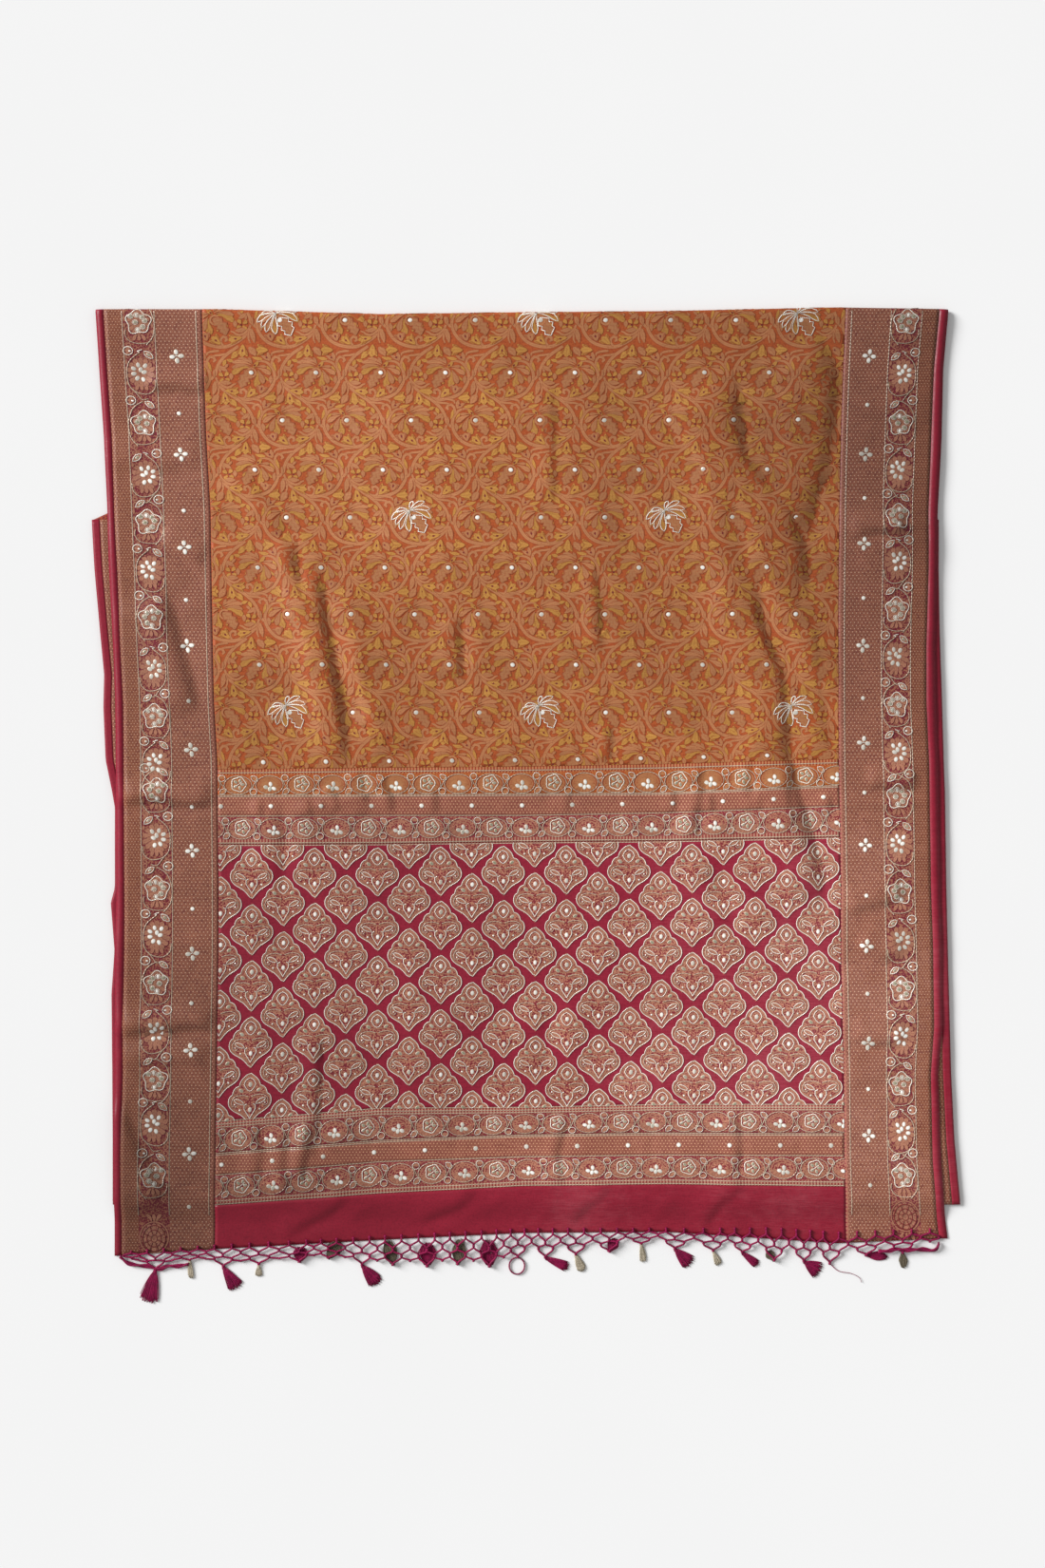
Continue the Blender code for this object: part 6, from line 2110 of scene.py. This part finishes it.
@dataclass
class Tassels:
    """The tassels and the loose ends of the fringe."""

    threads: int = 58
    thread: float = 0.62
    head: float = 5.0
    turns: int = 7
    seed: int = 31

    def build(self, finishes: Finishes) -> list[Thing]:
        """Builds them all."""
        chance = np.random.default_rng(self.seed)
        made = []
        for row in FRINGE:
            finish, slot = finishes.fringe, "fringe_silk"
            if row.grey:
                finish, slot = finishes.pale if row.lies is Lies.FREE else finishes.grey, "fringe_grey"
            if row.lies is Lies.RING:
                name, parts = "cord_ring_thread", self._ring(row)
            elif row.lies is Lies.THREAD:
                name, parts = "loose_thread_end", self._thread()
            else:
                name, parts = row.name + "_threads", self._tassel(row, chance)
            made.append(corded(name, row.name, parts, finish, slot))
        return made

    def _tassel(self, row: Loose, chance: np.random.Generator) -> list[Arrays]:
        """One tassel: a bound head and the threads that fan out of it."""
        knot, forward = np.array(row.knot, float), np.subtract(row.tip, row.knot, dtype=float)
        length = float(np.linalg.norm(forward))
        forward /= length
        side = np.array((forward[1], -forward[0]))
        slim = row.fan <= SLIM_FAN
        head_wide = 5.2 * (0.7 if slim else 1.0)
        tall = 2.4 if row.name == "tassel_01" else 2.2
        start = knot + forward * (0.5 if row.lies is Lies.FREE else -1.8)
        parts = []
        for i in range(self.turns):
            share = (i + 0.5) / self.turns
            at = start + forward * self.head * share
            swell = 1.0 + 0.12 * math.sin(math.pi * share)
            angle = np.arange(8) * math.pi / 4
            reach = head_wide / 2 * swell * np.cos(angle) * 0.86
            parts.append(tube(np.column_stack((
                at[0] + side[0] * reach,
                at[1] + side[1] * reach,
                0.8 + (tall - 0.6) / 2 + (tall - 0.9) / 2 * swell * np.sin(angle))), 0.45, 4, True))
        threads = self.threads // 2 if slim else self.threads
        steps = np.linspace(0, 1, 7)
        fan = head_wide * 0.42, row.fan * 0.48
        spread = mix(*fan, steps ** 0.8)
        if row.lies is Lies.UNDER:
            spread = np.interp(steps, (0, 0.25, 0.6, 1), (0.3, 0.62, 1.0, 0.55)) * row.fan * 0.56
        for i in range(threads):
            share = (i + 0.5) / threads * 2 - 1
            share = max(-1.0, min(1.0, share + chance.uniform(-0.06, 0.06)))
            ragged = 1.0 - 0.16 * chance.random() - 0.1 * share * share
            wave = chance.uniform(-0.9, 0.9)
            run = self.head * 0.6 + (length - self.head * 0.6) * ragged * steps
            off = spread * share + wave * np.sin(steps * 2.6)
            layer = (i * 7) % 5 / 5
            high = mix(0.9 + (tall - 1.3) * layer, 0.45 + 0.9 * layer, steps)
            places = start + forward * run[:, None] + side * off[:, None]
            parts.append(tube(np.column_stack((places, high)), self.thread * (1.0 - 0.25 * steps), 4))
        return [(np.maximum(points, (-np.inf, -np.inf, LOWEST)), faces) for points, faces in parts]

    @staticmethod
    def _ring(row: Loose) -> list[Arrays]:
        """The open loop of cord."""
        long = math.dist(row.knot, row.tip) / 2
        loop = ellipse(*np.add(row.knot, row.tip) / 2, long * 0.86, long * 0.93, 34)
        return [tube(np.column_stack((loop, np.full(34, 1.1))), 0.95, 6, True)]

    @staticmethod
    def _thread() -> list[Arrays]:
        """The untied end of cord."""
        route = smooth_line(THREAD_ROUTE, 2.5)
        return [tube(np.column_stack((route, np.full(len(route), 0.8))), np.linspace(0.5, 0.3, len(route)), 6)]


@dataclass
class Studio:
    """The camera, the floor and the light."""

    sky: float = 0.44
    sun: float = 4.70
    sun_height: float = 26.5
    sun_from: float = 154.0
    floor_tone: float = 0.82

    def build(self) -> None:
        """Sets the view, the floor and the light."""
        camera = bpy.data.cameras.new("view")
        camera.lens, camera.sensor_width, camera.clip_end = LENS, SENSOR, 50.0
        holder = bpy.data.objects.new("view", camera)
        holder.location = (*VIEW_CENTRE, VIEW_HEIGHT * LENS / SENSOR)
        bpy.context.scene.collection.objects.link(holder)
        bpy.context.scene.camera = holder
        bpy.context.scene.view_settings.view_transform = "Standard"
        choose(None)
        bpy.ops.mesh.primitive_plane_add(size=30.0, location=(0, 0, 0))
        floor = bpy.context.object
        floor.name = "floor"
        with editing(floor):
            bpy.ops.transform.translate(value=(0, 0, -0.0006))
        m = Recipe("paper_floor")
        grain = m.rise(m.noise(m.place, 3.0, 1.0), 0.0, 1.0, self.floor_tone - 0.006, self.floor_tone + 0.006)
        floor.data.materials.append(m.finish(Base_Color=grain, Roughness=1.0, Specular_IOR_Level=0.0))
        world = bpy.data.worlds.new("studio")
        world.use_nodes = True
        world.node_tree.nodes["Background"].inputs[0].default_value = (1.0, 1.0, 1.0, 1.0)
        world.node_tree.nodes["Background"].inputs[1].default_value = self.sky
        bpy.context.scene.world = world
        lamp = bpy.data.lights.new("key", "SUN")
        lamp.energy, lamp.angle = self.sun, math.radians(26)
        key = bpy.data.objects.new("key", lamp)
        key.rotation_euler = (math.radians(90 - self.sun_height), 0, math.radians(self.sun_from + 90))
        bpy.context.scene.collection.objects.link(key)


class Saree:
    """The whole saree."""

    def __init__(self) -> None:
        """Works out the map and the finishes."""
        self.cloth = ClothMap()
        self.finishes = Finishes()

    def shells(self) -> list[tuple[Thing, Point]]:
        """Every part of the laid cloth and of the stretch below."""
        f, rows = self.finishes, ("fold", "hem")
        border = [f.narrow, f.vine_ground, f.brocade, f.teeth]
        parts = [
            ClothPiece("left_satin_cloth", "left_satin_edge", "satin", ("left_edge", "left_satin"), rows, [f.satin]),
            ClothPiece("left_border_cloth", "left_border", "border_brocade", ("left_satin", "left_seam"), rows, border,
                       {"left_outer_line": 1, "left_inner_line": 2, "left_last_line": 3}),
            ClothPiece("right_border_cloth", "right_border", "border_brocade", ("right_seam", "right_satin"), rows,
                       border[::-1], {"right_last_line": 1, "right_inner_line": 2, "right_outer_line": 3}),
            ClothPiece("right_satin_cloth", "right_satin_edge", "satin", ("right_satin", "right_edge"), rows,
                       [f.satin]),
        ]
        # Between the borders: name, node, slot, first line, finishes and where the second one starts
        across = (
            ("field", "field", "field_silk", "fold", [f.field], {}),
            ("ochre_band", "floral_band_ochre", "ochre_band", "field_end", [f.ochre_dashes, f.ochre],
             {"ochre_stripes": 1}),
            ("dotted_upper", "dotted_band_upper", "dotted_brocade", "ochre_end", [f.dotted_band], {}),
            ("floral_upper", "floral_band_upper", "floral_brocade", "dots_end", [f.floral, f.floral_dashes],
             {"upper_stripes": 1}),
            ("pallu", "pallu", "pallu_silk", "pallu_start", [f.pallu], {}),
            ("floral_lower", "floral_band_lower", "floral_brocade", "pallu_end", [f.floral_dashes, f.floral],
             {"lower_stripes": 1}),
            ("dotted_lower", "dotted_band_lower", "dotted_brocade", "lower_floral_end", [f.dotted_band], {}),
            ("floral_end", "floral_band_end", "floral_brocade", "lower_dots_end", [f.floral, f.floral_dashes],
             {"end_stripes": 1}),
            ("end_band", "end_band", "satin", "end_band_start", [f.satin], {}),
        )
        ends = [row[3] for row in across[1:]] + ["hem"]
        for (name, node, slot, start, materials, changes), end in zip(across, ends):
            parts.append(ClothPiece(name + "_cloth", node, slot, ("left_seam", "right_seam"), (start, end), materials,
                                    {}, changes))
        made = [part.build(self.cloth) for part in parts]
        for side in ("left", "right"):
            made += UnderStrip(side).build(f)
        return made

    def build(self) -> None:
        """Builds every piece."""
        shells = self.shells()
        body = HiddenLayers().build(self.finishes)
        dressed = {
            "field": Field(),
            "left_border": Border("left"),
            "right_border": Border("right", 12),
            "ochre_band": FloralBand("ochre_band", "field_end", "ochre_end", "ochre_band", 36.0, 15, (4.6, 35.2), 27.5,
                                     (8.0, 35.0), Slot.TAN),
            "dotted_upper": DottedBand("dotted_upper", "ochre_end", "dots_end", "dotted_brocade", 28.5, 22, (1.2, 27.5),
                                       4.0),
            "floral_upper": FloralBand("floral_upper", "dots_end", "pallu_start", "floral_brocade", 36.0, 17, (33.6,),
                                       32.0, (1.5, 29.5)),
            "pallu": Pallu(),
            "floral_lower": FloralBand("floral_lower", "pallu_end", "lower_floral_end", "floral_brocade", 41.0, 17,
                                       (3.0, 6.5, 40.0), 30.0, (8.5, 38.5)),
            "dotted_lower": DottedBand("dotted_lower", "lower_floral_end", "lower_dots_end", "dotted_brocade", 28.5, 22,
                                       (1.2, 27.5), 8.0),
            "floral_end": FloralBand("floral_end", "lower_dots_end", "end_band_start", "floral_brocade", 40.0, 15,
                                     (34.0, 38.5), 34.0, (1.5, 31.0)),
        }
        work = {name + "_cloth": part.dress(self.cloth, self.finishes) for name, part in dressed.items()}
        work["end_band_cloth"] = [Net().build(self.finishes), *Tassels().build(self.finishes)]
        for piece, flat in shells:
            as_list(work.get(piece.name, []))


def main() -> None:
    """Builds the scene."""
    logging.basicConfig(level=logging.INFO, format="%(message)s")
    Studio().build()
    Saree().build()


if __name__ == "__main__":
    main()
